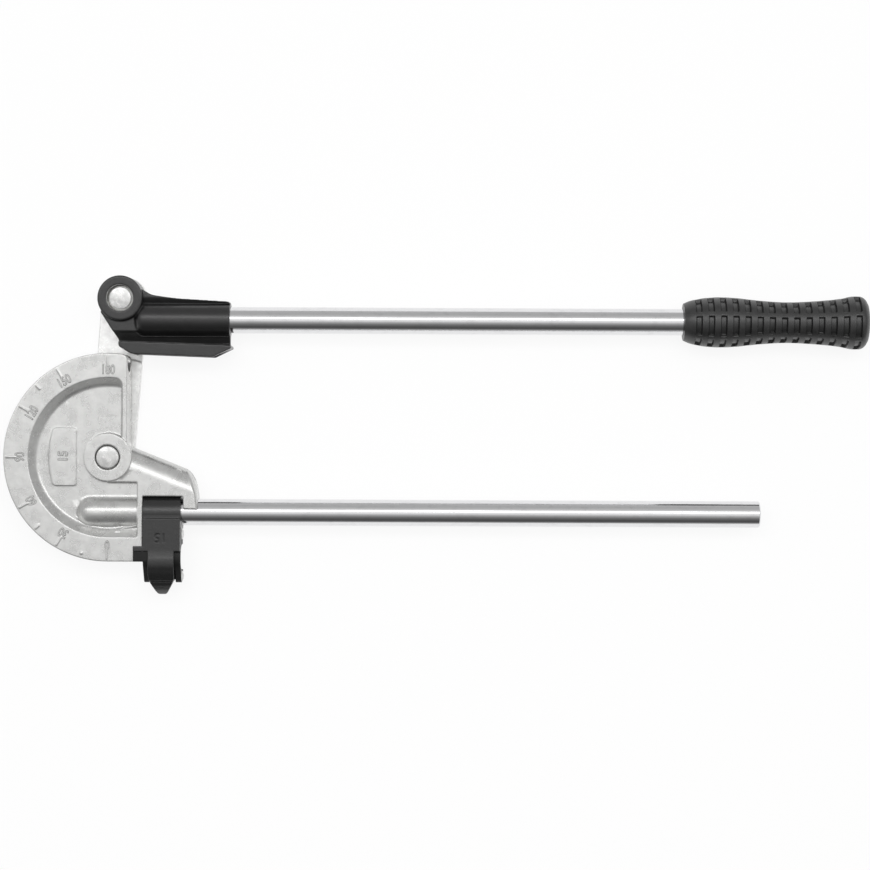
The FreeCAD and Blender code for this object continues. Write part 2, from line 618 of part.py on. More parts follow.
def grip():
    """Moulded grip: rings of slots in a waisted form, with straight ribs left between the slots."""
    end = GRIP_FRONT + GRIP_LENGTH
    crest = [V(GRIP_FRONT + along, 0, HANDLE_R + wall) for along, wall in GRIP_SHAPE]
    side = Part.BSplineCurve()
    side.interpolate(crest)
    wide = crest[-1]
    dome_top = V(end, 0, 0)
    dome_edge = V(end, 0, HANDLE_R + GRIP_DOME_FACE)
    middle = V(end - GRIP_DOME_MIDDLE[0], 0, HANDLE_R + GRIP_DOME_MIDDLE[1])
    dome = Part.Arc(wide, middle, dome_edge).toShape()
    front = V(GRIP_FRONT, 0, 0)
    profile = Part.Wire([Part.LineSegment(front, crest[0]).toShape(), side.toShape(), dome,
                         Part.LineSegment(dome_edge, dome_top).toShape(),
                         Part.LineSegment(dome_top, front).toShape()])
    form = Part.Face(profile).revolve(V(0, 0, 0), X_AXIS, 360)
    core_crest = [V(p.x, 0, p.z - GRIP_SLOT_DEPTH) for p in crest]
    core_side = Part.BSplineCurve()
    core_side.interpolate(core_crest)
    core_front = V(GRIP_FRONT, 0, 0)
    core_end = V(core_crest[-1].x, 0, 0)
    core = Part.Face(Part.Wire([Part.LineSegment(core_front, core_crest[0]).toShape(), core_side.toShape(),
                                Part.LineSegment(core_crest[-1], core_end).toShape(),
                                Part.LineSegment(core_end, core_front).toShape()]))
    core = core.revolve(V(0, 0, 0), X_AXIS, 360)
    rings = []
    for i in range(GRIP_RINGS):
        start = GRIP_FRONT + GRIP_FIRST_RING + i * GRIP_RING_PITCH - GRIP_SLOT_WIDTH / 2
        rings.append(rod(FAR / 4, (start, 0, 0), (start + GRIP_SLOT_WIDTH, 0, 0)))
    ribs = []
    for i in range(GRIP_RIBS):
        rib = block(GRIP_FRONT, end, 0, FAR / 2, -GRIP_RIB_WIDTH / 2, GRIP_RIB_WIDTH / 2)
        rib.rotate(V(0, 0, 0), X_AXIS, 90 - GRIP_RIB_TURN + i * 360.0 / GRIP_RIBS)
        ribs.append(rib)
    slots = rings[0].multiFuse(rings[1:]).cut(ribs).cut(core)
    form = form.cut(slots)
    bore = rod(HANDLE_R + FIXED_FIT, (GRIP_FRONT - FAR, 0, 0), (end - GRIP_WALL_END, 0, 0))
    form = form.cut(bore)
    form.translate(V(0, LEVER_Y, 0))
    return form


def throat():
    """Space of the work tube in the latch, open to the back."""
    bore = rod(GROOVE_R, (-FAR, -BEND_R, 0), (FAR, -BEND_R, 0))
    return bore.fuse(block(-FAR, FAR, -BEND_R - GROOVE_R, -BEND_R + GROOVE_R, -FAR, 0))


def rivet_holes():
    """Holes of the two rivets that join the latch's two pieces."""
    holes = [rod(RIVET_R + FIXED_FIT, (-FAR, -HANDLE_DROP - drop, 0), (FAR, -HANDLE_DROP - drop, 0))
             for drop in (UPPER_RIVET_DROP, LOWER_RIVET_DROP)]
    return holes[0].fuse(holes[1])


def latch_cover():
    """Casting that swings on the fixed handle: barrel, front plate, thumb tongue and top of the foot."""
    barrel = rod(LATCH_BARREL_R, (LATCH_LEFT, -HANDLE_DROP, 0), (LATCH_RIGHT, -HANDLE_DROP, 0))
    crease = LATCH_FRONT - CREASE_DEPTH
    front = across([(0, LATCH_BACK), (CHEEK_START, LATCH_BACK), (CHEEK_START, LATCH_FRONT),
                    (CREASE_DROP, LATCH_FRONT), (CREASE_DROP, crease), (0, crease)],
                   LATCH_LEFT, LATCH_RIGHT)
    inner_left = LATCH_LEFT + CHEEK_LEFT + INNER_GAP
    inner_right = LATCH_RIGHT - CHEEK_RIGHT - INNER_GAP
    rib_end = UPPER_RIVET_DROP + COVER_RIB_PAST
    rib = across([(0, -COVER_RIB_BACK), (rib_end, -COVER_RIB_BACK, COVER_RIB_R),
                  (rib_end, LATCH_FRONT), (0, LATCH_BACK)], inner_left, inner_right)
    foot_top = THROAT_DROP + FOOT_TOP_PAST
    foot = across([(foot_top, FOOT_FRONT), (CHEEK_START, FOOT_FRONT), (CHEEK_START, LATCH_FRONT),
                   (foot_top, LATCH_FRONT, FOOT_EDGE_R)], FOOT_LEFT, LATCH_LEFT)
    cover = fused(barrel, front, rib, foot, tongue(inner_left, inner_right))
    cover = cover.cut(rod(TONGUE_INNER_R, (-FAR, -BEND_R, 0), (FAR, -BEND_R, 0)))
    cover = cover.cut(rod(HANDLE_R + LATCH_FIT, (-FAR, -HANDLE_DROP, 0), (FAR, -HANDLE_DROP, 0)))
    return cover.cut(rivet_holes())


def tongue(left, right):
    """Thumb tongue: over the throat, straight down past the lower rivet and out to a narrowed lip."""
    def round_point(radius, turn):
        return (THROAT_DROP + radius * math.sin(turn), radius * math.cos(turn))
    nose = (LOWER_RIVET_DROP + NOSE_BOSS_R + INNER_GAP, TONGUE_LIP_FRONT)
    past, ahead = nose[0] - THROAT_DROP, nose[1]
    leave = math.atan2(past, ahead) - math.acos(TONGUE_R / math.hypot(past, ahead))
    meet = -math.acos(LATCH_FRONT / TONGUE_R)
    inner_end = math.radians(TONGUE_INNER_END)
    tip = THROAT_DROP + TONGUE_TIP_PAST
    lip_back = TONGUE_LIP_FRONT - TONGUE_LIP_THICK
    root = THROAT_DROP + CHEEK_START_PAST - LATCH_PLATE
    shape = across([
        (root, LATCH_BACK), (root, LATCH_FRONT),
        (*round_point(TONGUE_R, meet), 0, round_point(TONGUE_R, (meet + leave) / 2)),
        round_point(TONGUE_R, leave), (*nose, TONGUE_NOSE_R),
        (tip, TONGUE_LIP_FRONT, TONGUE_LIP_EDGE_R), (tip, lip_back, TONGUE_LIP_EDGE_R),
        (LOWER_RIVET_DROP + NOSE_BOSS_R, lip_back - TONGUE_LIP_ROOT),
        (LOWER_RIVET_DROP, lip_back - TONGUE_LIP_ROOT),
        (*round_point(TONGUE_INNER_R, inner_end), 0, round_point(TONGUE_INNER_R, inner_end / 2)),
        round_point(TONGUE_INNER_R, 0)], left, right)
    middle = (left + right) / 2
    taper = -HANDLE_DROP - THROAT_DROP - TONGUE_TAPER_PAST
    plan = plate([(left, 0), (right, 0), (right, taper, TONGUE_TAPER_R),
                  (middle + TONGUE_TIP_HALF, -HANDLE_DROP - tip, TONGUE_TIP_R),
                  (middle - TONGUE_TIP_HALF, -HANDLE_DROP - tip, TONGUE_TIP_R),
                  (left, taper, TONGUE_TAPER_R)], -FAR, FAR)
    return shape.common(plan)


def hook_block():
    """Block between and beside the cover that holds the work tube: two cheeks, a liner and the foot."""
    top = LATCH_BARREL_R - CHEEK_BACK_R
    cover_back = LATCH_BACK - INNER_GAP
    high = across([(top, -CHEEK_BACK, CHEEK_BACK_R), (CHEEK_START, -CHEEK_BACK),
                   (CHEEK_START, cover_back), (top, cover_back)], LATCH_LEFT, LATCH_RIGHT)
    round_part = rod(CHEEK_OUTER_R, (LATCH_LEFT, -BEND_R, 0), (LATCH_RIGHT, -BEND_R, 0))
    lug = rod(NOSE_BOSS_R, (LATCH_LEFT, -HANDLE_DROP - LOWER_RIVET_DROP, 0),
              (LATCH_RIGHT, -HANDLE_DROP - LOWER_RIVET_DROP, 0))
    neck = across(belt((THROAT_DROP, 0), CHEEK_OUTER_R, (LOWER_RIVET_DROP, 0), NOSE_BOSS_R),
                  LATCH_LEFT, LATCH_RIGHT)
    foot_start = CHEEK_START + INNER_GAP
    foot_end = THROAT_DROP + FOOT_END_PAST
    foot_face = FOOT_FRONT + FOOT_THICK
    foot = across([(foot_start, FOOT_FRONT), (foot_end, FOOT_FRONT), (foot_end, foot_face, FOOT_EDGE_R),
                   (foot_start, foot_face)], FOOT_LEFT, LATCH_LEFT + CHEEK_LEFT)
    riser = across([(foot_start, 0), (foot_end, 0), (foot_end, foot_face, FOOT_EDGE_R),
                    (foot_start, foot_face)], LATCH_LEFT, LATCH_LEFT + CHEEK_LEFT)
    whole = fused(high, round_part, lug, neck)
    whole = whole.cut(block(-FAR, FAR, -BEND_R + GROOVE_R, 0, -FAR, -CHEEK_BACK))
    inner_left = LATCH_LEFT + CHEEK_LEFT
    inner_right = LATCH_RIGHT - CHEEK_RIGHT
    keep = rod(TONGUE_INNER_R - INNER_GAP, (inner_left, -BEND_R, 0), (inner_right, -BEND_R, 0))
    keep = keep.cut(block(-FAR, FAR, -BEND_R - FAR, -BEND_R + GROOVE_R, -FAR, -FOOT_THICK))
    cavity = block(inner_left, inner_right, -FAR, FAR, -FAR, FAR).cut(keep)
    whole = whole.cut(cavity)
    whole = fused(whole, foot, riser)
    whole = whole.cut(rod(LATCH_BARREL_R + INNER_GAP, (-FAR, -HANDLE_DROP, 0), (FAR, -HANDLE_DROP, 0)))
    whole = whole.cut(throat())
    return whole.cut(rivet_holes())


def rivet(drop):
    """Cross rivet with a domed head on the right and a flush left end."""
    y = -HANDLE_DROP - drop
    shank = rod(RIVET_R, (LATCH_LEFT, y, 0), (LATCH_RIGHT, y, 0))
    dome_r = (RIVET_HEAD_R ** 2 + RIVET_HEAD_HEIGHT ** 2) / (2 * RIVET_HEAD_HEIGHT)
    dome = Part.makeSphere(dome_r, V(LATCH_RIGHT + RIVET_HEAD_HEIGHT - dome_r, y, 0))
    dome = dome.common(rod(RIVET_HEAD_R, (LATCH_RIGHT, y, 0), (FINGER_LEFT, y, 0)))
    return fused(shank, dome)


def build():
    """Every node of the tool, by name, as a list of its solids."""
    die_seat = PIVOT_FACE - PIN_HEAD_LENGTH
    eye_pin_face = EYE_FACE - EYE_PIN_SINK
    eye_seat = eye_pin_face - PIN_HEAD_LENGTH
    lever_tube = rod(HANDLE_R, (BARREL_SOCKET + TURN_GAP, LEVER_Y, 0), (LEVER_REACH, LEVER_Y, 0))
    lever_tube = lever_tube.cut(rod(TUBE_BORE_R, (0, LEVER_Y, 0), (LEVER_REACH, LEVER_Y, 0)))
    lever_tube = lever_tube.cut(rod(SPRING_PIN_R + FIXED_FIT, (LEVER_PIN_X, LEVER_Y, -FAR),
                                    (LEVER_PIN_X, LEVER_Y, FAR)))
    pivots = (V(0, 0, 0), LEVER_PIVOT)
    return {
        "form_die": [form_die()],
        "die_bush": [bush(V(0, 0, 0), -PIVOT_FACE, die_seat)],
        "fixed_handle": [fixed_handle()],
        "handle_pin": [spring_pin(HANDLE_PIN_X, -HANDLE_DROP, -CASTING_HALF + SPRING_PIN_SINK, HANDLE_R)],
        "link_plate": [link_plate()],
        "die_pivot_pin": [pivot_pin(V(0, 0, 0), PIVOT_FACE)],
        "lever_pivot_pin": [pivot_pin(LEVER_PIVOT, eye_pin_face)],
        "die_thrust_washer": [ring(DIE_THRUST_R, PIN_R + FIXED_FIT, LINK_DIE_FACE,
                                   LINK_DIE_FACE + THRUST_THICK)],
        "lever_thrust_washer": [ring(LEVER_THRUST_R, PIN_R + FIXED_FIT, LINK_LEVER_FACE,
                                     LINK_LEVER_FACE + THRUST_THICK, LEVER_PIVOT)],
        "pin_washers": [ring(WASHER_R, PIN_R + FIXED_FIT, WASHER_BACK, LINK_BACK, p) for p in pivots],
        "circlips": [circlip(p) for p in pivots],
        "lever_head": [lever_head()],
        "lever_bush": [bush(LEVER_PIVOT, -CASTING_HALF, eye_seat)],
        "lever_tube": [lever_tube],
        "lever_tube_pin": [spring_pin(LEVER_PIN_X, LEVER_Y, -CASTING_HALF + SPRING_PIN_SINK, HANDLE_R)],
        "grip": [grip()],
        "latch_cover": [latch_cover()],
        "hook_block": [hook_block()],
        "latch_rivets": [rivet(UPPER_RIVET_DROP), rivet(LOWER_RIVET_DROP)],
    }


def main():
    """Build the tool, stand it on its underside and write one file for each node."""
    nodes = build()
    whole = Part.makeCompound([solid for solids in nodes.values() for solid in solids])
    box = whole.optimalBoundingBox(False)
    shift = V(-(box.XMin + box.XMax) / 2, -(box.YMin + box.YMax) / 2, -box.ZMin)
    os.makedirs("parts", exist_ok=True)
    for name, solids in nodes.items():
        shape = solids[0] if len(solids) == 1 else Part.makeCompound(solids)
        shape.translate(shift)
        shape.exportStep(f"parts/{name}.step")
        count = len(shape.Solids)
        print(f"{name:20s} solids {count} valid {shape.isValid()} volume {shape.Volume / 1000:.2f} cm3")
    print(f"die pivot at {shift.x:.3f} {shift.y:.3f} {shift.z:.3f}")
    print(f"lever pivot at {shift.x + LEVER_PIVOT.x:.3f} {shift.y + LEVER_PIVOT.y:.3f}")
    print(f"box {box.XLength:.2f} {box.YLength:.2f} {box.ZLength:.2f}")


main()
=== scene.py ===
"""Looks of a lever tube bender that lies on a pale floor, seen from straight above.

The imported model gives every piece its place. Castings are fine copies of their solids with rounded edges.
Turned pieces, tubes and the grip are surfaces worked out here, and the numbers stand on the die as cast.
"""

import json
import logging
import math
from collections.abc import Callable
from dataclasses import KW_ONLY, dataclass, field
from enum import Enum

import bmesh
import bpy
import numpy as np
from mathutils import Matrix, Vector


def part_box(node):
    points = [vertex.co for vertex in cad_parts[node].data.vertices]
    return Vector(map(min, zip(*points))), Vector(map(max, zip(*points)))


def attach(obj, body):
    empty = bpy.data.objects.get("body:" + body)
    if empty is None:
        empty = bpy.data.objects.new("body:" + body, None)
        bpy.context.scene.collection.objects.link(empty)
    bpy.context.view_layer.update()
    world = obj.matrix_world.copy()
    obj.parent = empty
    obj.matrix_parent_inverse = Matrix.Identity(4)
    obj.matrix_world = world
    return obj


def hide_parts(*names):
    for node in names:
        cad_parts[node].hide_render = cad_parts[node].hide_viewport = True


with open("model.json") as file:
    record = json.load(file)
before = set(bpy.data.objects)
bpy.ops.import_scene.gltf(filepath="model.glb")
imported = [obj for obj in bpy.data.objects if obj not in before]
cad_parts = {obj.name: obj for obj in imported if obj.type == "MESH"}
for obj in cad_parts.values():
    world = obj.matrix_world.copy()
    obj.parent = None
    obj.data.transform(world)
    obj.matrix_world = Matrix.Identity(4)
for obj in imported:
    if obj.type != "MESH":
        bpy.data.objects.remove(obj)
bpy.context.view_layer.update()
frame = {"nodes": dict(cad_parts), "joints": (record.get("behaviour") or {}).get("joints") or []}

LOG = logging.getLogger("tube_bender")
MM = 0.001
MERGE_GAP = 1e-6
NEVER_ZERO = 1e-6
ON_AXIS = 1e-9
TURNED_SIDES = 128
TURNED_ANGLE = 35.0
ARC_POINTS = 5
COPY_ANGLE = 30.0
FIGURE_ANGLE = 25.0
FIGURE_SHARE = 0.70
POLISH_SPAN = (0.3, 0.7)
MIX_INPUTS = (0, 6, 7)

Pair = tuple[float, float]
Colour = tuple[float, float, float]
Stops = tuple[Pair, ...]
Piece = bpy.types.Object
Mesh = bpy.types.Mesh
Socket = bpy.types.NodeSocket


class Body(Enum):
    """The four bodies that move against each other."""

    FRAME = "frame"
    LINK = "link"
    LEVER = "lever"
    LATCH = "latch"


class Slot(Enum):
    """The record's material slots."""

    DIE_CASTING = "die_casting"
    PLATED_TUBE = "plated_tube"
    LINK_STEEL = "link_steel"
    PIN_STEEL = "pin_steel"
    WASHER_STEEL = "washer_steel"
    RIVET_STEEL = "rivet_steel"
    SPRING_STEEL = "spring_steel"
    BRONZE = "bearing_bronze"
    BLACK_CASTING = "black_casting"
    BLACK_BLOCK = "black_block"
    GRIP_RUBBER = "grip_rubber"


def joint_place(name: str) -> Vector:
    """A point on the axis of the record's joint of that name, in metres."""
    return Vector(next(joint["pos_m"] for joint in frame["joints"] if joint["name"] == name))


class Graph:
    """Node tree of a material or of the world, with short calls to add and join nodes."""

    def __init__(self, owner: bpy.types.ID) -> None:
        """Empty the owner's tree.

        Args:
            owner: a material or a world.
        """
        owner.use_nodes = True
        self.tree = owner.node_tree
        self.tree.nodes.clear()

    def add(self, kind: str, settings: dict | None = None, **sockets: object) -> bpy.types.Node:
        """Add a node.

        Args:
            kind: the node's type without its ShaderNode prefix.
            settings: properties of the node.
            **sockets: value or output socket for each named input, with underscores for spaces.

        Returns:
            The new node.
        """
        node = self.tree.nodes.new("ShaderNode" + kind)
        for key, value in (settings or {}).items():
            setattr(node, key, value)
        for key, value in sockets.items():
            self.feed(node, key.replace("_", " "), value)
        return node

    def feed(self, node: bpy.types.Node, socket: str | int, value: object) -> None:
        """Set an input of a node, or join an output to it.

        Args:
            node: the node whose input it is.
            socket: the input's name or number.
            value: a plain value or an output socket.
        """
        target = node.inputs[socket]
        if isinstance(value, Socket):
            self.tree.links.new(value, target)
        else:
            target.default_value = value

    def math(self, operation: str, *values: object) -> Socket:
        """Work out one number from one, two or three.

        Args:
            operation: Blender's name of the sum.
            *values: a value or a socket for each input.

        Returns:
            The result's socket.
        """
        node = self.add("Math", {"operation": operation})
        for number, value in enumerate(values):
            self.feed(node, number, value)
        return node.outputs[0]

    def ramp(self, factor: Socket, stops: Stops) -> Socket:
        """Grey level that follows a factor.

        Args:
            factor: socket between 0 and 1.
            stops: positions with the grey level at each.

        Returns:
            The colour's socket.
        """
        node = self.add("ValToRGB", Fac=factor)
        elements = node.color_ramp.elements
        while len(elements) < len(stops):
            elements.new(0.5)
        for element, (place, level) in zip(elements, stops):
            element.position = place
            element.color = (level, level, level, 1.0)
        return node.outputs["Color"]

    def mix(self, factor: object, first: object, second: object) -> Socket:
        """Mix two colours.

        Args:
            factor: share of the second colour.
            first: colour or socket.
            second: colour or socket.

        Returns:
            The mixed colour's socket.
        """
        node = self.add("Mix", {"data_type": "RGBA"})
        for number, value in zip(MIX_INPUTS, (factor, first, second)):
            self.feed(node, number, value)
        return node.outputs[2]


@dataclass(frozen=True)
class Clouds:
    """Cloudy pattern: a cloud's size in metres, its finer layers, and how far each axis squeezes it."""

    size: float
    layers: float = 3.0
    squeeze: Colour = (1.0, 1.0, 1.0)


@dataclass(frozen=True)
class Stain:
    """A shade, the ramp to its share, and the pattern that the ramp reads, or None for the surface's bend,
    where it is partly wear and partly painted shade or a painted highlight.
    """

    shade: float
    share: Stops
    clouds: Clouds | None = None


@dataclass(frozen=True)
class Relief:
    """A bump: its pattern, its full height in metres and the share of it that shows."""

    clouds: Clouds
    depth: float
    strength: float


class Coat(Graph):
    """Nodes of a finish, whose patterns lie in the object's own space."""

    layer_share = 0.6

    def __init__(self, material: bpy.types.Material) -> None:
        """Join a surface shader to the material's output.

        Args:
            material: the finish's material.
        """
        super().__init__(material)
        self.shader = self.add("BsdfPrincipled")
        self.place = self.add("TexCoord").outputs["Object"]
        self.add("OutputMaterial", Surface=self.shader.outputs[0])

    def wear(self, **sockets: object) -> None:
        """Set or join inputs of the surface shader, named with underscores for spaces."""
        for key, value in sockets.items():
            self.feed(self.shader, key.replace("_", " "), value)

    def pattern(self, clouds: Clouds | None) -> Socket:
        """Cloudy pattern, or how far the surface bends outwards.

        Args:
            clouds: the pattern's sizes, or None for the bend.

        Returns:
            Socket of a number near 0.5.
        """
        if clouds is None:
            return self.add("NewGeometry").outputs["Pointiness"]
        scaled = self.add("Mapping", Vector=self.place, Scale=clouds.squeeze)
        noise = self.add("TexNoise", Vector=scaled.outputs[0], Scale=1.0 / clouds.size, Detail=clouds.layers,
                         Roughness=self.layer_share)
        return noise.outputs["Fac"]

    def emboss(self, reliefs: tuple[Relief, ...]) -> None:
        """Lay reliefs over one another in the shader's normal.

        Args:
            reliefs: the bumps, from the lowest up.
        """
        under = {}
        for relief in reliefs:
            node = self.add("Bump", Height=self.pattern(relief.clouds), Distance=relief.depth,
                            Strength=relief.strength, **under)
            under = {"Normal": node.outputs[0]}
        self.wear(**under)


@dataclass(frozen=True)
class Finish:
    """A material and what varies it.

    The colour runs from its first to its second shade as the ramp over the clouds says, with stains and
    painted light over it, and a shade is a factor on the colour. The roughness runs between two shares of its
    value over the polish.
    """

    slot: Slot
    colour: Colour
    metal: float
    roughness: float
    specular: float = 0.5
    _: KW_ONLY
    clouds: Clouds
    share: Stops
    shades: Pair
    polish: Clouds
    polish_shares: Pair
    reliefs: tuple[Relief, ...]
    stains: tuple[Stain, ...] = ()

    def material(self) -> bpy.types.Material:
        """Make the material once and hand out the same one after that.

        Returns:
            The material.
        """
        name = f"{type(self).__name__}_{self.slot.value}"
        made = bpy.data.materials.get(name)
        if made is None:
            made = bpy.data.materials.new(name)
            coat = Coat(made)
            coat.wear(Metallic=self.metal, Roughness=self.roughness, Specular_IOR_Level=self.specular,
                      Base_Color=(*self.colour, 1.0))
            self.vary(coat)
        return made

    def vary(self, coat: Coat) -> None:
        """Let the colour, the roughness and the normal follow their patterns.

        Args:
            coat: the material's nodes.
        """
        low, high = (self.roughness * share for share in self.polish_shares)
        start, end = POLISH_SPAN
        coat.wear(Base_Color=self.tone(coat),
                  Roughness=coat.ramp(coat.pattern(self.polish), ((start, low), (end, high))))
        coat.emboss(self.reliefs)

    def tone(self, coat: Coat) -> Socket:
        """The clouded colour with its stains and painted light.

        Args:
            coat: the material's nodes.

        Returns:
            The colour's socket.
        """
        colour = self.between(coat, coat.pattern(self.clouds))
        for overlay in self.stains:
            share = coat.ramp(coat.pattern(overlay.clouds), overlay.share)
            colour = coat.mix(share, colour, self.shade(overlay.shade))
        return colour

    def between(self, coat: Coat, pattern: Socket) -> Socket:
        """The colour from its first to its second shade, by the ramp over a pattern."""
        first, second = self.shades
        return coat.mix(coat.ramp(pattern, self.share), self.shade(first), self.shade(second))

    def shade(self, factor: float) -> tuple[float, float, float, float]:
        """The colour, darkened or lightened by a factor."""
        return (*(min(1.0, channel * factor) for channel in self.colour), 1.0)


@dataclass(frozen=True)
class CastAlloy(Finish):
    """Pale alloy as it left the mould, mottled and pitted, darker in hollows and brighter on edges: grime and
    wear with painted shade and a painted highlight.
    """

    clouds: Clouds = Clouds(7 * MM, 5.0)
    share: Stops = ((0.35, 0.0), (0.65, 1.0))
    shades: Pair = (0.90, 1.06)
    stains: tuple[Stain, ...] = (
        Stain(0.85, ((0.28, 0.25), (0.46, 0.0)), Clouds(0.9 * MM, 2.0)),
        # Darker where the surface bends inwards: partly grime, partly painted shade in the hollows.
        Stain(0.6, ((0.42, 0.4), (0.48, 0.0))),
        # Lighter where the surface bends outwards: partly worn edges, partly a painted highlight.
        Stain(1.35, ((0.525, 0.0), (0.59, 0.6))))
    polish: Clouds = Clouds(7 * MM, 1.5)
    polish_shares: Pair = (0.85, 1.2)
    reliefs: tuple[Relief, ...] = (Relief(Clouds(0.5 * MM), 0.018 * MM, 0.5),
                                   Relief(Clouds(7 * MM, 1.5), 0.18 * MM, 0.5))


@dataclass(frozen=True)
class FigureAlloy(CastAlloy):
    """The same alloy on raised figures, with a painted highlight on level faces and painted shade down their
    sloped sides.
    """

    share: Stops = ((0.90, 0.0), (0.97, 1.0))
    # Painted shade at 0.52 on sloped faces and a painted highlight at 1.1 on level faces.
    shades: Pair = (0.52, 1.1)

    def tone(self, coat: Coat) -> Socket:
        """The colour by how level a face is: painted shade on sloped faces, a painted highlight on level
        ones.
        """
        normal = coat.add("SeparateXYZ", Vector=coat.add("NewGeometry").outputs["True Normal"])
        return self.between(coat, normal.outputs["Z"])


@dataclass(frozen=True)
class DrawnTube(Finish):
    """Bright plated tube with fine lines along X, faint stains and cloudy polish."""

    clouds: Clouds = Clouds(0.7 * MM, 2.0, (0.01, 1.0, 1.0))
    share: Stops = ((0.0, 0.0), (1.0, 1.0))
    shades: Pair = (0.94, 1.04)
    stains: tuple[Stain, ...] = (
        Stain(0.86, ((0.32, 0.5), (0.48, 0.0)), Clouds(3 * MM, 3.0, (0.5, 1.0, 1.0))),)
    polish: Clouds = Clouds(14 * MM, 3.0, (0.35, 1.0, 1.0))
    polish_shares: Pair = (0.7, 1.5)
    reliefs: tuple[Relief, ...] = (Relief(Clouds(14 * MM, 3.0, (0.35, 1.0, 1.0)), 0.05 * MM, 0.5),
                                   Relief(Clouds(0.7 * MM, 2.0, (0.01, 1.0, 1.0)), 0.012 * MM, 0.3))


@dataclass(frozen=True)
class TexturedPaint(Finish):
    """Dark paint over a casting, with a fine orange-peel grain and edges lightened, partly as rubbed paint
    and partly as a painted highlight.
    """

    clouds: Clouds = Clouds(5 * MM)
    share: Stops = ((0.3, 0.0), (0.7, 1.0))
    shades: Pair = (0.8, 1.2)
    # Lighter where the surface bends outwards: partly rubbed paint, partly a painted highlight.
    stains: tuple[Stain, ...] = (Stain(3.0, ((0.52, 0.0), (0.60, 1.0))),)
    polish: Clouds = Clouds(0.35 * MM, 2.0)
    polish_shares: Pair = (0.9, 1.15)
    reliefs: tuple[Relief, ...] = (Relief(Clouds(0.35 * MM, 2.0), 0.05 * MM, 0.8),
                                   Relief(Clouds(5 * MM), 0.12 * MM, 0.5))


@dataclass(frozen=True)
class MachinedPaint(TexturedPaint):
    """The same paint, cut through to bare metal round a machined hole, with sizes in metres."""

    hole: str = "lever_pivot"
    bare_r: float = 8.12 * MM
    bare_low: float = 4.0 * MM
    bare_colour: Colour = (0.78, 0.78, 0.77)
    bare_roughness: float = 0.25

    def vary(self, coat: Coat) -> None:
        """Paint outside the hole's rim and bright metal inside it.

        Args:
            coat: the material's nodes.
        """
        near = coat.add("VectorMath", {"operation": "SUBTRACT"})
        coat.feed(near, 0, coat.place)
        coat.feed(near, 1, tuple(joint_place(self.hole)))
        parts = coat.add("SeparateXYZ", Vector=near.outputs[0])
        flat = coat.add("CombineXYZ", X=parts.outputs["X"], Y=parts.outputs["Y"])
        reach = coat.add("VectorMath", {"operation": "LENGTH"}, Vector=flat.outputs[0])
        inside = coat.math("LESS_THAN", reach.outputs["Value"], self.bare_r)
        high = coat.math("GREATER_THAN", parts.outputs["Z"], self.bare_low)
        bare = coat.math("MULTIPLY", inside, high)
        painted = coat.math("MULTIPLY", coat.math("SUBTRACT", 1.0, bare), self.roughness)
        coat.wear(Base_Color=coat.mix(bare, self.tone(coat), (*self.bare_colour, 1.0)), Metallic=bare,
                  Roughness=coat.math("MULTIPLY_ADD", bare, self.bare_roughness, painted))
        coat.emboss(self.reliefs)


@dataclass(frozen=True)
class MouldedRubber(Finish):
    """Matt moulded rubber with a dusty bloom and a fine grain."""

    clouds: Clouds = Clouds(4 * MM, 4.0)
    share: Stops = ((0.35, 0.0), (0.75, 1.0))
    shades: Pair = (0.85, 1.35)
    polish: Clouds = Clouds(4 * MM, 4.0)
    polish_shares: Pair = (0.9, 1.1)
    reliefs: tuple[Relief, ...] = (Relief(Clouds(0.3 * MM, 2.0), 0.03 * MM, 0.5),)


@dataclass(frozen=True)
class PlatedSteel(Finish):
    """Pale plated steel, mottled as barrel plating leaves it, with a faint ripple."""

    clouds: Clouds = Clouds(3 * MM)
    share: Stops = ((0.38, 0.0), (0.62, 1.0))
    shades: Pair = (0.8, 1.04)
    polish: Clouds = Clouds(3 * MM)
    polish_shares: Pair = (1.25, 0.8)
    reliefs: tuple[Relief, ...] = (Relief(Clouds(3 * MM), 0.06 * MM, 0.4),)


CAST = CastAlloy(Slot.DIE_CASTING, (0.66, 0.66, 0.65), 0.8, 0.28)
FIGURE = FigureAlloy(Slot.DIE_CASTING, (0.66, 0.66, 0.65), 0.8, 0.28)
TUBE = DrawnTube(Slot.PLATED_TUBE, (0.80, 0.80, 0.81), 1.0, 0.10)
LINK = PlatedSteel(Slot.LINK_STEEL, (0.90, 0.90, 0.89), 0.9, 0.32, shades=(0.93, 1.04))
PIN = PlatedSteel(Slot.PIN_STEEL, (0.76, 0.76, 0.75), 0.9, 0.28, shades=(0.78, 1.04))
WASHER = PlatedSteel(Slot.WASHER_STEEL, (0.76, 0.76, 0.75), 0.9, 0.3)
RIVET = PlatedSteel(Slot.RIVET_STEEL, (0.72, 0.72, 0.71), 0.9, 0.3)
SPRING = PlatedSteel(Slot.SPRING_STEEL, (0.22, 0.22, 0.24), 0.9, 0.35)
BRONZE = PlatedSteel(Slot.BRONZE, (0.72, 0.53, 0.29), 1.0, 0.3)
PAINT = TexturedPaint(Slot.BLACK_CASTING, (0.009, 0.009, 0.009), 0.0, 0.24, 0.76)
HEAD_PAINT = MachinedPaint(Slot.BLACK_CASTING, (0.009, 0.009, 0.009), 0.0, 0.26, 0.76)
# A darker, duller black than the cover's paint: partly the block's own finish, partly painted shade of the
# shaded hook.
BLOCK_WITH_SHADE = TexturedPaint(Slot.BLACK_BLOCK, (0.006, 0.006, 0.006), 0.0, 0.45, 0.35)
RUBBER = MouldedRubber(Slot.GRIP_RUBBER, (0.013, 0.013, 0.013), 0.0, 0.36, 0.85)


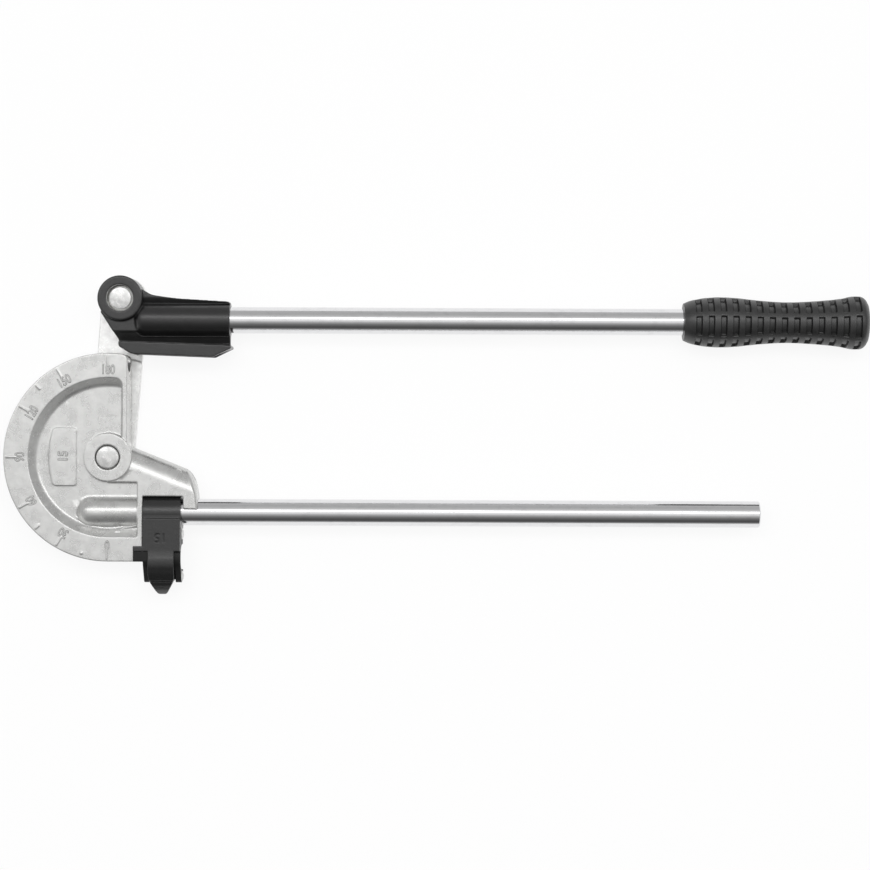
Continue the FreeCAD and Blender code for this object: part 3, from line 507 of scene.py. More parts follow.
def dress(piece: Piece, finish: Finish) -> None:
    """Give a piece its finish, and name the slot that it comes from.

    Args:
        piece: a new piece or a CAD node.
        finish: its material.
    """
    piece.data.materials.clear()
    piece.data.materials.append(finish.material())


def settle(piece: Piece, body: Body, finish: Finish, *nodes: str) -> None:
    """Give a new piece its finish and its body, and hide the solids that it stands for.

    Args:
        piece: the finished object.
        body: what it moves with.
        finish: its material.
        *nodes: the CAD nodes that it replaces.
    """
    dress(piece, finish)
    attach(piece, body.value)
    if nodes:
        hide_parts(*nodes)
    LOG.info("%s rides on %s", piece.name, body.value)


def dress_node(node: str, finish: Finish) -> None:
    """Give a CAD node that stays, known by its name, its finish."""
    dress(frame["nodes"][node], finish)
    LOG.info("%s keeps its own mesh", node)


def link_object(name: str, data: bpy.types.ID) -> Piece:
    """Put a mesh or a curve in the scene at the origin.

    Args:
        name: the object's name.
        data: its mesh or curve.

    Returns:
        The new object.
    """
    piece = bpy.data.objects.new(name, data)
    bpy.context.scene.collection.objects.link(piece)
    return piece


def solid_mesh(piece: Piece) -> Mesh:
    """A new mesh of an object as its modifiers or its curve settings make it."""
    return bpy.data.meshes.new_from_object(piece.evaluated_get(bpy.context.evaluated_depsgraph_get()))


def smooth_by_angle(mesh: Mesh, degrees: float) -> None:
    """Shade a mesh smooth, with sharp edges where its faces turn by more than an angle."""
    mesh.shade_smooth()
    mesh.set_sharp_from_angle(angle=math.radians(degrees))


def tidy_mesh(mesh: Mesh) -> None:
    """Merge points that fall together and turn every face outwards.

    Args:
        mesh: the mesh.
    """
    work = bmesh.new()
    work.from_mesh(mesh)
    bmesh.ops.remove_doubles(work, verts=work.verts, dist=MERGE_GAP)
    bmesh.ops.recalc_face_normals(work, faces=work.faces)
    work.to_mesh(mesh)
    work.free()


def mesh_points(mesh: Mesh) -> np.ndarray:
    """Every vertex of a mesh as rows of x, y and z, in metres.

    Args:
        mesh: the mesh.

    Returns:
        The rows.
    """
    points = np.empty(3 * len(mesh.vertices))
    mesh.vertices.foreach_get("co", points)
    return points.reshape(-1, 3)


def place_points(mesh: Mesh, points: np.ndarray) -> None:
    """Put a mesh's vertices at new places, given as rows of x, y and z in metres."""
    mesh.vertices.foreach_set("co", points.ravel())
    mesh.update()


def grid_mesh(name: str, points: np.ndarray, wrap_rows: bool, wrap_columns: bool) -> Mesh:
    """Mesh of a grid of points.

    A quad joins the points (i, j), (i + 1, j), (i + 1, j + 1) and (i, j + 1), counted round where it wraps.

    Args:
        name: the mesh's name.
        points: array of rows, columns and x, y, z in metres.
        wrap_rows: whether the last row joins the first.
        wrap_columns: whether the last column joins the first.

    Returns:
        The new mesh.
    """
    rows, columns = points.shape[:2]
    i = np.arange(rows if wrap_rows else rows - 1)[:, None]
    j = np.arange(columns if wrap_columns else columns - 1)[None, :]
    here, below = i * columns, (i + 1) % rows * columns
    after = (j + 1) % columns
    quads = np.stack([here + j, below + j, below + after, here + after], axis=-1).reshape(-1, 4)
    mesh = bpy.data.meshes.new(name)
    mesh.from_pydata(points.reshape(-1, 3).tolist(), [], quads.tolist())
    mesh.validate()
    return mesh


def turned_mesh(name: str, section: np.ndarray, centre: Vector, axis: int) -> Mesh:
    """Closed surface turned about an axis from a section.

    A section point (along, radius) at turn t stands at along on the axis, and at radius * cos t and
    radius * sin t across it. A section that starts on the axis closes there, and any other is a loop.

    Args:
        name: the mesh's name.
        section: rows of distance along the axis and radius, in metres.
        centre: a point on the axis, from which the distances count.
        axis: 0 for X or 2 for Z.

    Returns:
        The new mesh.
    """
    turn = np.linspace(0.0, 2 * math.pi, TURNED_SIDES, endpoint=False)
    along, radius = section[:, 0][:, None], section[:, 1][:, None]
    points = np.empty((len(section), TURNED_SIDES, 3))
    points[:, :, axis] = along + np.zeros_like(turn)
    points[:, :, (axis + 1) % 3] = radius * np.cos(turn)
    points[:, :, (axis + 2) % 3] = radius * np.sin(turn)
    points += np.array(centre)
    is_loop = abs(section[0, 1]) >= ON_AXIS
    mesh = grid_mesh(name, points, is_loop, True)
    tidy_mesh(mesh)
    smooth_by_angle(mesh, TURNED_ANGLE)
    return mesh


def rounded(section: list[tuple[float, float]], radii: dict[int, float]) -> np.ndarray:
    """Section with some of its corners rounded.

    A corner of radius r is replaced by points on the arc that touches both of its sides.

    Args:
        section: corners in millimetres.
        radii: radius in millimetres for the number of each rounded corner.

    Returns:
        Array of points in metres.
    """
    corners = [np.array(corner, float) for corner in section]
    share = np.linspace(0, 1, ARC_POINTS)[:, None]
    points = []
    for number, corner in enumerate(corners):
        if number not in radii:
            points.append(corner)
            continue
        back = corners[number - 1] - corner
        ahead = corners[(number + 1) % len(corners)] - corner
        back, ahead = back / np.linalg.norm(back), ahead / np.linalg.norm(ahead)
        half = math.acos(float(np.clip(back @ ahead, -1, 1))) / 2
        reach = radii[number] / math.tan(half)
        middle = (back + ahead) / np.linalg.norm(back + ahead)
        hub = corner + middle * radii[number] / math.sin(half)
        first, last = corner + back * reach - hub, corner + ahead * reach - hub
        sweep = math.pi - 2 * half
        arc = (np.sin((1 - share) * sweep) * first + np.sin(share * sweep) * last) / math.sin(sweep)
        points.extend(hub + arc)
    return np.array(points) * MM


def ease(share: np.ndarray) -> np.ndarray:
    """Smooth step from 0 at 0 to 1 at 1."""
    t = np.clip(share, 0, 1)
    return t * t * (3 - 2 * t)


def smooth_curve(knots: Stops, at: np.ndarray) -> np.ndarray:
    """Values of a smooth curve through given points.

    Between two points it is the cubic whose slopes there come from the neighbours on both sides. Off its ends
    it is level.

    Args:
        knots: place and value of each point.
        at: places that are asked for.

    Returns:
        The values there.
    """
    x, y = np.array(knots).T
    slope = np.gradient(y, x)
    k = np.clip(np.searchsorted(x, at, side="right") - 1, 0, len(x) - 2)
    gap = x[k + 1] - x[k]
    t = np.clip((at - x[k]) / gap, 0, 1)
    return (y[k] * (1 + 2 * t) * (1 - t) ** 2 + gap * slope[k] * t * (1 - t) ** 2
            + y[k + 1] * t ** 2 * (3 - 2 * t) + gap * slope[k + 1] * t ** 2 * (t - 1))


def cast_copy(node: str, name: str, cell: float, passes: int, keep: float = 1.0,
              cutters: tuple[Piece, ...] = (), shape: Callable[[Mesh], None] | None = None) -> Piece:
    """Copy of a CAD solid with its edges rounded as a mould leaves them.

    The copy is merged, rebuilt on a fine cubic lattice and relaxed, which rounds each edge by about a cell.
    Then it is shaped, and its flat stretches are thinned.

    Args:
        node: the CAD node.
        name: the new piece's name.
        cell: size of a cell in millimetres.
        passes: how often it is relaxed.
        keep: share of its triangles that are kept.
        cutters: objects that are cut out of it first, and then removed.
        shape: what moves its vertices.

    Returns:
        The new object.
    """
    mesh = frame["nodes"][node].data.copy()
    tidy_mesh(mesh)
    piece = link_object(name, mesh)
    for cutter in cutters:
        cut = piece.modifiers.new("engraving", "BOOLEAN")
        cut.operation = "DIFFERENCE"
        cut.solver = "EXACT"
        cut.object = cutter
    remesh = piece.modifiers.new("mould", "REMESH")
    remesh.mode = "VOXEL"
    remesh.voxel_size = cell * MM
    relax = piece.modifiers.new("relax", "SMOOTH")
    relax.factor = 0.5
    relax.iterations = passes
    apply_modifiers(piece)
    for cutter in cutters:
        bpy.data.objects.remove(cutter)
    if shape is not None:
        shape(piece.data)
    if keep < 1:
        thin = piece.modifiers.new("thin", "DECIMATE")
        thin.ratio = keep
        apply_modifiers(piece)
    piece.data.shade_smooth()
    LOG.info("%s has %d triangles", name, sum(len(face.vertices) - 2 for face in piece.data.polygons))
    return piece


def apply_modifiers(piece: Piece) -> None:
    """Turn a piece's modifiers into its mesh.

    Args:
        piece: a mesh object.
    """
    finished = solid_mesh(piece)
    piece.modifiers.clear()
    piece.data = finished


def smooth_copy(node: str, name: str) -> Piece:
    """Copy of a CAD solid with its round faces shaded smooth.

    Args:
        node: the CAD node.
        name: the new piece's name.

    Returns:
        The new object.
    """
    mesh = frame["nodes"][node].data.copy()
    tidy_mesh(mesh)
    smooth_by_angle(mesh, COPY_ANGLE)
    return link_object(name, mesh)


@dataclass(frozen=True)
class Lettering:
    """How figures are drawn, in millimetres.

    The slope is the width and height of their sides before they are squeezed. Bold is how far each stroke is
    widened. Squeeze holds the shares of its width and of its depth that the solid keeps.
    """

    height: float
    depth: float
    slope: float
    bold: float = 0.06
    squeeze: Pair = (1.0, 1.0)

    def solid(self, name: str, text: str, spot: Vector, turn: float) -> Piece:
        """Plain figures as a solid mesh.

        Args:
            name: the object's name.
            text: the figures.
            spot: the middle of their base, in metres.
            turn: how far they are turned about the vertical, in radians.

        Returns:
            The new object, at the origin.
        """
        curve = bpy.data.curves.new(name, "FONT")
        curve.body = text
        curve.size = self.height / FIGURE_SHARE
        curve.align_x = "CENTER"
        curve.align_y = "CENTER"
        curve.extrude = self.depth - self.slope
        curve.offset = self.bold - self.slope / 2
        curve.bevel_depth = self.slope
        curve.bevel_resolution = 0
        curve.resolution_u = 4
        source = link_object(name + "_curve", curve)
        mesh = solid_mesh(source)
        bpy.data.objects.remove(source)
        mesh.materials.clear()
        wide, deep = self.squeeze
        size = Matrix.Diagonal((MM * wide, MM, MM * deep, 1.0))
        mesh.transform(Matrix.Translation(spot) @ Matrix.Rotation(turn, 4, "Z") @ size)
        tidy_mesh(mesh)
        smooth_by_angle(mesh, FIGURE_ANGLE)
        return link_object(name, mesh)


@dataclass
class FormDie:
    """The cast die with its scale, its bush and the fixed handle's pin.

    Sizes are in millimetres, places count from the pivot and heights from the mid-plane. A band is how near a
    surface a point has to be to count as part of it, and a slack is how far past an outline.
    """

    cell: float = 0.36
    passes: int = 2
    keep: float = 0.45
    half: float = 10.0
    rim_r: float = 62.4
    figures: Lettering = Lettering(5.4, 0.42, 0.42, squeeze=(0.75, 0.64))
    figure_r: float = 52.3
    step: int = 30
    last: int = 180
    mark_width: float = 0.9
    mark_rise: float = 0.24
    mark_slope: float = 0.34
    mark_length: float = 4.8
    mark_inset: float = 1.6
    minor_length: float = 3.2
    minor_inset: float = 1.8
    minor_angles: tuple[float, ...] = (45.0, 135.0)
    recess_depth: float = 4.5
    recess_foot: float = 43.3
    foot_reach: float = 1.5
    foot_band: float = 0.6
    panel_text: Lettering = Lettering(5.8, 0.42, 0.42, squeeze=(0.85, 0.64))
    panel_middle: Pair = (-27.0, 0.3)
    panel_rise: float = 0.45
    panel_right: float = -19.2
    panel_left: float = -35.8
    panel_bow: float = 58.0
    panel_low: float = -17.2
    panel_high: float = 17.5
    panel_corner: float = 1.8
    panel_side: float = 0.6
    panel_band: float = 0.35
    panel_zone: Pair = (-16.5, 40.5)
    boss_r: float = 14.3
    boss_slack: float = 0.08
    arm_root: Pair = (15.0, 5.8)
    arm_tip: Pair = (45.3, -6.3)
    arm_round: float = 12.2
    arm_depth: float = 9.7
    arm_slack: float = 0.3
    side_top: Pair = (52.2, -9.05)
    side_end: Pair = (54.2, -30.7)
    side_round: float = 2.0
    side_depth: float = 3.0
    corner_round: float = 6.0
    pivot: Vector = field(default_factory=lambda: joint_place("link_pivot"))

    def build(self) -> None:
        """Make the casting, its figures and what is pressed into it."""
        die = cast_copy("form_die", "die_casting", self.cell, self.passes, self.keep, shape=self.shape_faces)
        settle(die, Body.FRAME, CAST, "form_die")
        for angle in range(0, self.last + 1, self.step):
            self.figure(angle)
        self.marks()
        self.size_figure()
        dress_node("die_bush", BRONZE)
        dress_node("handle_pin", SPRING)

    def spot(self, x: float, y: float, height: float) -> Vector:
        """A point in metres from its distances to the pivot and its height."""
        return self.pivot + Vector((x, y, height)) * MM

    def floor(self) -> float:
        """Height of the recess's floor."""
        return self.half - self.recess_depth

    def shape_faces(self, mesh: Mesh) -> None:
        """Give both faces the arm's broad round, the wide foot of the recess and the narrow panel.

        Args:
            mesh: the casting's mesh.
        """
        origin = np.array(self.pivot)
        place = (mesh_points(mesh) - origin) / MM
        x, y = place[:, 0], place[:, 1]
        reach = np.hypot(x, y)
        height = np.abs(place[:, 2])
        top, shift = self.arm_round_at(x, y, reach)
        height = np.minimum(height, top)
        place[:, :2] += shift
        height = self.with_foot(height, reach)
        height = self.with_panel(height, x, y, reach)
        place[:, 2] = np.sign(place[:, 2]) * height
        place_points(mesh, place * MM + origin)

    def arm_round_at(self, x: np.ndarray, y: np.ndarray, reach: np.ndarray) -> tuple[np.ndarray, np.ndarray]:
        """Greatest height that the arm's round leaves, and how far its corner is drawn in.

        With e and s the shares of the round's width that are left to the sloped edge and to the finger's
        side, the height is the half thickness less depth times one minus the root of 1 - e squared - s
        squared. Where e and s lie past the circle of radius 1, the point is drawn back to it.

        Args:
            x: distances from the pivot along the handle.
            y: distances from the pivot across it.
            reach: distances from the pivot.

        Returns:
            Heights, without limit off the arm, and moves along x and y.
        """
        along = np.subtract(self.arm_tip, self.arm_root)
        along = along / np.linalg.norm(along)
        from_edge = (x - self.arm_root[0]) * along[1] - (y - self.arm_root[1]) * along[0]
        lean = (self.side_end[0] - self.side_top[0]) / (self.side_top[1] - self.side_end[1])
        from_side = self.side_end[0] - (y - self.side_end[1]) * lean - x
        edge = np.clip(1 - from_edge / self.arm_round, 0, 1)
        width = self.side_round + (self.corner_round - self.side_round) * edge
        side = np.clip(1 - from_side / width, 0, 1)
        depth = self.arm_depth + (self.side_depth - self.arm_depth) * side / (side + edge + NEVER_ZERO)
        length = np.hypot(edge, side)
        left = np.sqrt(np.clip(1 - length ** 2, 0, 1))
        on_arm = (from_edge > -self.arm_slack) & (reach > self.boss_r + self.boss_slack) & (x > 0)
        over = np.where(on_arm & (side > 0) & (edge > 0), np.maximum(length, 1.0), 1.0)
        inward = np.stack([edge * (1 - 1 / over) * self.arm_round, side * (1 - 1 / over) * width])
        slopes = np.array([[along[1], -along[0]], [-1.0, -lean]])
        shift = np.linalg.solve(slopes, inward).T
        return np.where(on_arm, self.half - depth * (1 - left), np.inf), shift

    def with_foot(self, height: np.ndarray, reach: np.ndarray) -> np.ndarray:
        """Heights with a wide round at the foot of the recess's sloped wall.

        Within a reach t of the foot, at a distance p past it, the height over the floor is (p + t) squared
        over 4t.

        Args:
            height: heights before.
            reach: distances from the pivot.

        Returns:
            The new heights.
        """
        past = reach - self.recess_foot
        on_wall = np.abs(height - self.floor() - np.maximum(past, 0)) < self.foot_band
        near = (np.abs(past) < self.foot_reach) & on_wall
        return np.where(near, self.floor() + (past + self.foot_reach) ** 2 / (4 * self.foot_reach), height)

    def with_panel(self, height: np.ndarray, x: np.ndarray, y: np.ndarray, reach: np.ndarray) -> np.ndarray:
        """Heights with the size panel drawn in to its outline, with soft sides.

        The outline is straight but for its left side, a flat arc, and its corners are round. Across it the
        height eases from the floor's to the panel's.

        Args:
            height: heights before.
            x: distances from the pivot along the handle.
            y: distances from the pivot across it.
            reach: distances from the pivot.

        Returns:
            The new heights.
        """
        from_bow = self.panel_bow - np.hypot(x - self.panel_left - self.panel_bow, y)
        across = np.minimum(from_bow, self.panel_right - x)
        upright = np.minimum(y - self.panel_low, self.panel_high - y)
        inside = self.panel_corner - np.hypot(np.maximum(self.panel_corner - across, 0),
                                              np.maximum(self.panel_corner - upright, 0))
        right, far = self.panel_zone
        near = np.abs(height - self.floor() - self.panel_rise / 2) < self.panel_band
        rise = self.panel_rise * ease(inside / self.panel_side + 0.5)
        return np.where(near & (x < right) & (reach < far), self.floor() + rise, height)

    def figure(self, angle: int) -> None:
        """One number of the scale, with its top turned outwards.

        Args:
            angle: degrees past the zero mark.
        """
        turn = math.radians(angle)
        spot = self.spot(-self.figure_r * math.sin(turn), -self.figure_r * math.cos(turn), self.half)
        settle(self.figures.solid(f"scale_{angle}", str(angle), spot, math.pi - turn), Body.FRAME, FIGURE)

    def marks(self) -> None:
        """The scale's bars, each a low ridge with sloped sides.

        A bar's corner stands across and along its own line, which is turned about the pivot by its angle.
        """
        major = [(angle, self.mark_inset, self.mark_length) for angle in range(0, self.last + 1, self.step)]
        minor = [(angle, self.minor_inset, self.minor_length) for angle in self.minor_angles]
        bars = np.array(major + minor)
        turn = np.radians(bars[:, 0])[:, None]
        corner = np.array([(x, y, z) for z in (0, 1) for x, y in ((-1, -1), (1, -1), (1, 1), (-1, 1))])
        slim = corner[:, 2] * self.mark_slope
        across = corner[:, 0] * (self.mark_width / 2 - slim)
        middle = self.rim_r - bars[:, 1] - bars[:, 2] / 2
        reach = middle[:, None] + corner[:, 1] * (bars[:, 2][:, None] / 2 - slim)
        height = self.half + corner[:, 2] * (self.mark_rise + self.mark_slope) - self.mark_slope
        places = [across * np.cos(turn) - reach * np.sin(turn), -across * np.sin(turn) - reach * np.cos(turn),
                  np.broadcast_to(height, reach.shape)]
        points = np.stack(places, axis=-1) * MM + np.array(self.pivot)
        sides = np.array([(3, 2, 1, 0), (4, 5, 6, 7), (0, 1, 5, 4), (1, 2, 6, 5), (2, 3, 7, 6), (3, 0, 4, 7)])
        faces = (np.arange(len(bars))[:, None, None] * len(corner) + sides).reshape(-1, 4)
        mesh = bpy.data.meshes.new("scale_marks")
        mesh.from_pydata(points.reshape(-1, 3).tolist(), [], faces.tolist())
        tidy_mesh(mesh)
        settle(link_object("scale_marks", mesh), Body.FRAME, FIGURE)

    def size_figure(self) -> None:
        """The tube size on the raised panel, reading upwards."""
        spot = self.spot(*self.panel_middle, self.floor() + self.panel_rise)
        settle(self.panel_text.solid("tube_size", "15", spot, math.pi / 2), Body.FRAME, FIGURE)


@dataclass
class Tubes:
    """The two plated tubes. Sizes are in millimetres."""

    wall: float = 1.5
    end_break: float = 0.7
    bore_break: float = 0.3
    end_rounds: tuple[tuple[int, float], ...] = ((3, 0.3), (4, 0.5))

    def tube(self, node: str, name: str, body: Body) -> None:
        """Make a tube over its CAD node, with the edges of its free end broken.

        Args:
            node: the CAD node.
            name: the new piece's name.
            body: what it moves with.
        """
        low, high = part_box(node)
        centre = (low + high) / 2
        radius = (high.y - low.y) / 2 / MM
        half = (high.x - low.x) / 2 / MM
        bore = radius - self.wall
        section = [(-half, bore), (half - self.bore_break, bore), (half, bore + self.bore_break),
                   (half, radius - self.end_break), (half - self.end_break, radius), (-half, radius)]
        mesh = turned_mesh(name, rounded(section, dict(self.end_rounds)), centre, 0)
        settle(link_object(name, mesh), body, TUBE, node)

    def build(self) -> None:
        """Make both tubes."""
        self.tube("fixed_handle", "fixed_handle_tube", Body.FRAME)
        self.tube("lever_tube", "lever_handle_tube", Body.LEVER)


@dataclass
class Linkage:
    """The link plate, its two pins and what holds them. Sizes are in millimetres."""

    cell: float = 0.35
    passes: int = 1
    keep: float = 0.3
    head_chamfer: float = 0.5
    die_head_grow: float = 0.25
    die_head_chamfer: float = 0.9
    head_length: float = 3.95
    head_corner: int = 9
    shank_r: float = 5.0
    tail: float = 1.4
    tail_chamfer: float = 0.5
    clip: float = 1.0
    groove_depth: float = 0.3

    def pin(self, node: str, name: str, grow: float, chamfer: float) -> None:
        """Headed pin with a grooved tail, turned about a vertical axis.

        Args:
            node: the CAD node.
            name: the new piece's name.
            grow: how much wider than the node its head is.
            chamfer: radius of the head's rounded edge.
        """
        low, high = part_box(node)
        centre = Vector(((low.x + high.x) / 2, (low.y + high.y) / 2, low.z))
        head_r = (high.x - low.x) / 2 / MM + grow
        top = (high.z - low.z) / MM
        shoulder = top - self.head_length
        neck = self.shank_r - self.groove_depth
        groove_end = self.tail + self.clip
        section = [(0, 0), (0, self.shank_r - self.tail_chamfer), (self.tail_chamfer, self.shank_r),
                   (self.tail, self.shank_r), (self.tail, neck), (groove_end, neck),
                   (groove_end, self.shank_r), (shoulder, self.shank_r), (shoulder, head_r), (top, head_r),
                   (top, 0)]
        mesh = turned_mesh(name, rounded(section, {self.head_corner: chamfer}), centre, 2)
        settle(link_object(name, mesh), Body.LINK, PIN, node)

    def build(self) -> None:
        """Make the link and its pins, and dress the washers and rings."""
        plate = cast_copy("link_plate", "link_bar", self.cell, self.passes, self.keep)
        settle(plate, Body.LINK, LINK, "link_plate")
        self.pin("die_pivot_pin", "die_pin", self.die_head_grow, self.die_head_chamfer)
        self.pin("lever_pivot_pin", "lever_pin", 0.0, self.head_chamfer)
        for node in ("die_thrust_washer", "lever_thrust_washer"):
            dress_node(node, BRONZE)
        settle(smooth_copy("pin_washers", "back_washers"), Body.LINK, WASHER, "pin_washers")
        settle(smooth_copy("circlips", "retaining_rings"), Body.LINK, SPRING, "circlips")


@dataclass
class LeverHead:
    """The black head with the eye, the barrel and the grooved shoe.

    Sizes are in millimetres, and the trench's places count from the die's pivot. A band is how near a surface
    a point has to be to count as part of it, and a slack is how far past an outline.
    """

    cell: float = 0.38
    passes: int = 2
    barrel_r: float = 10.5
    web_half: float = 6.0
    web_band: float = 0.4
    valley_depth: float = 2.0
    valley_power: float = 1.5
    valley_shift: float = 1.1
    valley_reach: float = 5.0
    valley_slack: float = 0.3
    trench_half: float = 2.2
    trench_band: float = 0.6
    trench_low: float = 68.0
    trench_high: float = 75.6
    trench_rise: float = 3.0
    trench_end: float = 1.05
    trench_level: float = 0.3
    axis: Vector = field(default_factory=lambda: joint_place("link_pivot"))

    def build(self) -> None:
        """Make the casting and dress the pieces inside it."""
        head = cast_copy("lever_head", "lever_head_casting", self.cell, self.passes, shape=self.soften)
        settle(head, Body.LEVER, HEAD_PAINT, "lever_head")
        dress_node("lever_bush", BRONZE)
        dress_node("lever_tube_pin", SPRING)

    def soften(self, mesh: Mesh) -> None:
        """Sink the web's faces towards the barrel, and slope the floor of the trench up to the barrel.

        On the web's faces a point sinks by the valley's depth times a power of what is left of its
        reach from the barrel's flank, and moves out with the flank. On the trench's floor it rises in
        proportion to its way from the shoe to the barrel.

        Args:
            mesh: the casting's mesh.
        """
        low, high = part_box("lever_tube")
        barrel_y = (low.y + high.y) / 2 / MM
        points = mesh_points(mesh)
        rise = points[:, 2] / MM - self.axis.z / MM
        height = np.abs(rise)
        flank = math.sqrt(self.barrel_r ** 2 - self.web_half ** 2)
        away = points[:, 1] / MM - barrel_y - flank
        left = np.clip(1 - away / self.valley_reach, 0, 1)
        on_web = (away > -self.valley_slack) & (np.abs(height - self.web_half) < self.web_band)
        lift = np.where(on_web, -self.valley_depth * left ** self.valley_power, 0.0)
        points[:, 1] += np.where(on_web, self.valley_shift * left, 0.0) * MM
        up = points[:, 1] / MM - self.axis.y / MM
        way = (up - self.trench_low) / (self.trench_high - self.trench_low)
        on_floor = np.abs(height - self.trench_half) < self.trench_band
        in_trench = (way > 0) & (way < self.trench_end) & on_floor
        lift = np.where(in_trench, self.trench_rise * (np.clip(way, 0, 1) - self.trench_level), lift)
        points[:, 2] += np.sign(rise) * lift * MM
        place_points(mesh, points)


@dataclass
class Grip:
    """The moulded grip: a waisted form with rings of slots between straight ribs.

    Sizes are in millimetres, and places count from the grip's front end. The outline holds places with the
    radius at each, and the first rib's angle is in degrees. Rows and columns crowd together at a slot's
    edges, by row steps in shares of the soft edge and column steps in radians.
    """

    length: float = 110.8
    outline: Stops = (
        (0.0, 11.2), (3.2, 12.6), (8.0, 13.8), (20.0, 15.1), (30.0, 14.8), (45.0, 13.25), (61.0, 12.25),
        (78.0, 12.9), (93.0, 14.3), (104.3, 16.0), (106.6, 15.75), (108.6, 14.6), (109.9, 12.6),
        (110.6, 9.5), (110.8, 5.0))
    rings: int = 14
    first_ring: float = 8.4
    pitch: float = 7.32
    slot_width: float = 3.2
    slot_depth: float = 2.1
    ribs: int = 6
    rib_width: float = 3.0
    first_rib: float = 72.0
    soft_edge: float = 0.35
    bore_r: float = 8.02
    bore_end: float = 106.8
    smooth_angle: float = 50.0
    row_steps: tuple[float, ...] = (-0.9, -0.45, 0.0, 0.45, 0.9)
    front_rows: tuple[float, ...] = (0.0, 0.4, 0.9, 1.6, 2.4, 3.2, 4.2, 5.2)
    bridge_step: float = 1.1
    dome_start: float = 105.8
    dome_rows: int = 12
    column_steps: tuple[float, ...] = (-0.05, -0.02, 0.0, 0.02, 0.05)
    even_columns: int = 108
    mean_r: float = 13.5

    def middles(self) -> np.ndarray:
        """Places of the slots' rings."""
        return self.first_ring + self.pitch * np.arange(self.rings)

    def rows(self) -> np.ndarray:
        """Places of the grid's rows, close together at the slots' edges.

        Returns:
            Sorted distances.
        """
        middles = self.middles()
        bridges = middles[:-1] + self.pitch / 2
        steps = np.array(self.row_steps) * self.soft_edge
        edges = [(middles[:, None] + side * self.slot_width / 2 + steps).ravel() for side in (-1, 1)]
        dome = np.linspace(self.dome_start, self.length, self.dome_rows)
        places = np.concatenate([self.front_rows, middles, bridges, bridges - self.bridge_step,
                                 bridges + self.bridge_step, dome, *edges])
        return np.unique(places.round(4))

    def columns(self, spacing: np.ndarray) -> np.ndarray:
        """Angles of the grid's columns: evenly spaced, with more at the sides of each rib.

        Args:
            spacing: the ribs' angles.

        Returns:
            Sorted angles.
        """
        side = self.rib_width / 2 / self.mean_r
        steps = np.array(self.column_steps)
        extra = [(spacing[:, None] + way * side + steps).ravel() for way in (-1, 1)]
        even = np.linspace(0, 2 * math.pi, self.even_columns, endpoint=False)
        return np.unique(np.concatenate([even, *extra]).round(4) % round(2 * math.pi, 4))

    def outside(self, turns: np.ndarray, spacing: np.ndarray) -> np.ndarray:
        """The grip's outer surface.

        The radius is the outline's less the slot's depth times two soft steps: one into the ring of slots,
        and one off the nearest rib.

        Args:
            turns: the columns' angles.
            spacing: the ribs' angles.

        Returns:
            Rows and columns of points in metres.
        """
        along = self.rows()
        radius = smooth_curve(self.outline, along)
        from_ring = np.abs(along[:, None] - self.middles()[None, :]).min(axis=1)
        in_ring = ease((self.slot_width / 2 - from_ring) / self.soft_edge / 2 + 0.5)
        offset = np.abs((turns[:, None] - spacing[None, :] + math.pi) % (2 * math.pi) - math.pi).min(axis=1)
        off_rib = radius[:, None] * np.sin(offset)[None, :]
        between = ease((off_rib - self.rib_width / 2) / self.soft_edge / 2 + 0.5)
        reach = (radius[:, None] - self.slot_depth * in_ring[:, None] * between) * MM
        level = np.repeat(along[:, None] * MM, len(turns), axis=1)
        return np.stack([level, reach * np.cos(turns), reach * np.sin(turns)], axis=-1)

    def circle(self, along: float, radius: float, turns: np.ndarray) -> np.ndarray:
        """One row of the grid that is a plain circle, with its points in metres."""
        level = np.full_like(turns, along)
        return np.stack([level, radius * np.cos(turns), radius * np.sin(turns)], axis=-1) * MM

    def build(self) -> None:
        """Make the grip over its CAD node."""
        low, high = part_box("grip")
        centre = Vector((low.x, (low.y + high.y) / 2, (low.z + high.z) / 2))
        spacing = np.arange(self.ribs) * 2 * math.pi / self.ribs + math.radians(self.first_rib)
        turns = self.columns(spacing)
        inner = [self.circle(along, radius, turns) for along, radius in (
            (self.length, 0.0), (self.bore_end, 0.0), (self.bore_end, self.bore_r), (0.0, self.bore_r))]
        points = np.concatenate([self.outside(turns, spacing), np.stack(inner)]) + np.array(centre)
        mesh = grid_mesh("grip_moulding", points, True, True)
        tidy_mesh(mesh)
        smooth_by_angle(mesh, self.smooth_angle)
        settle(link_object("grip_moulding", mesh), Body.LEVER, RUBBER, "grip")


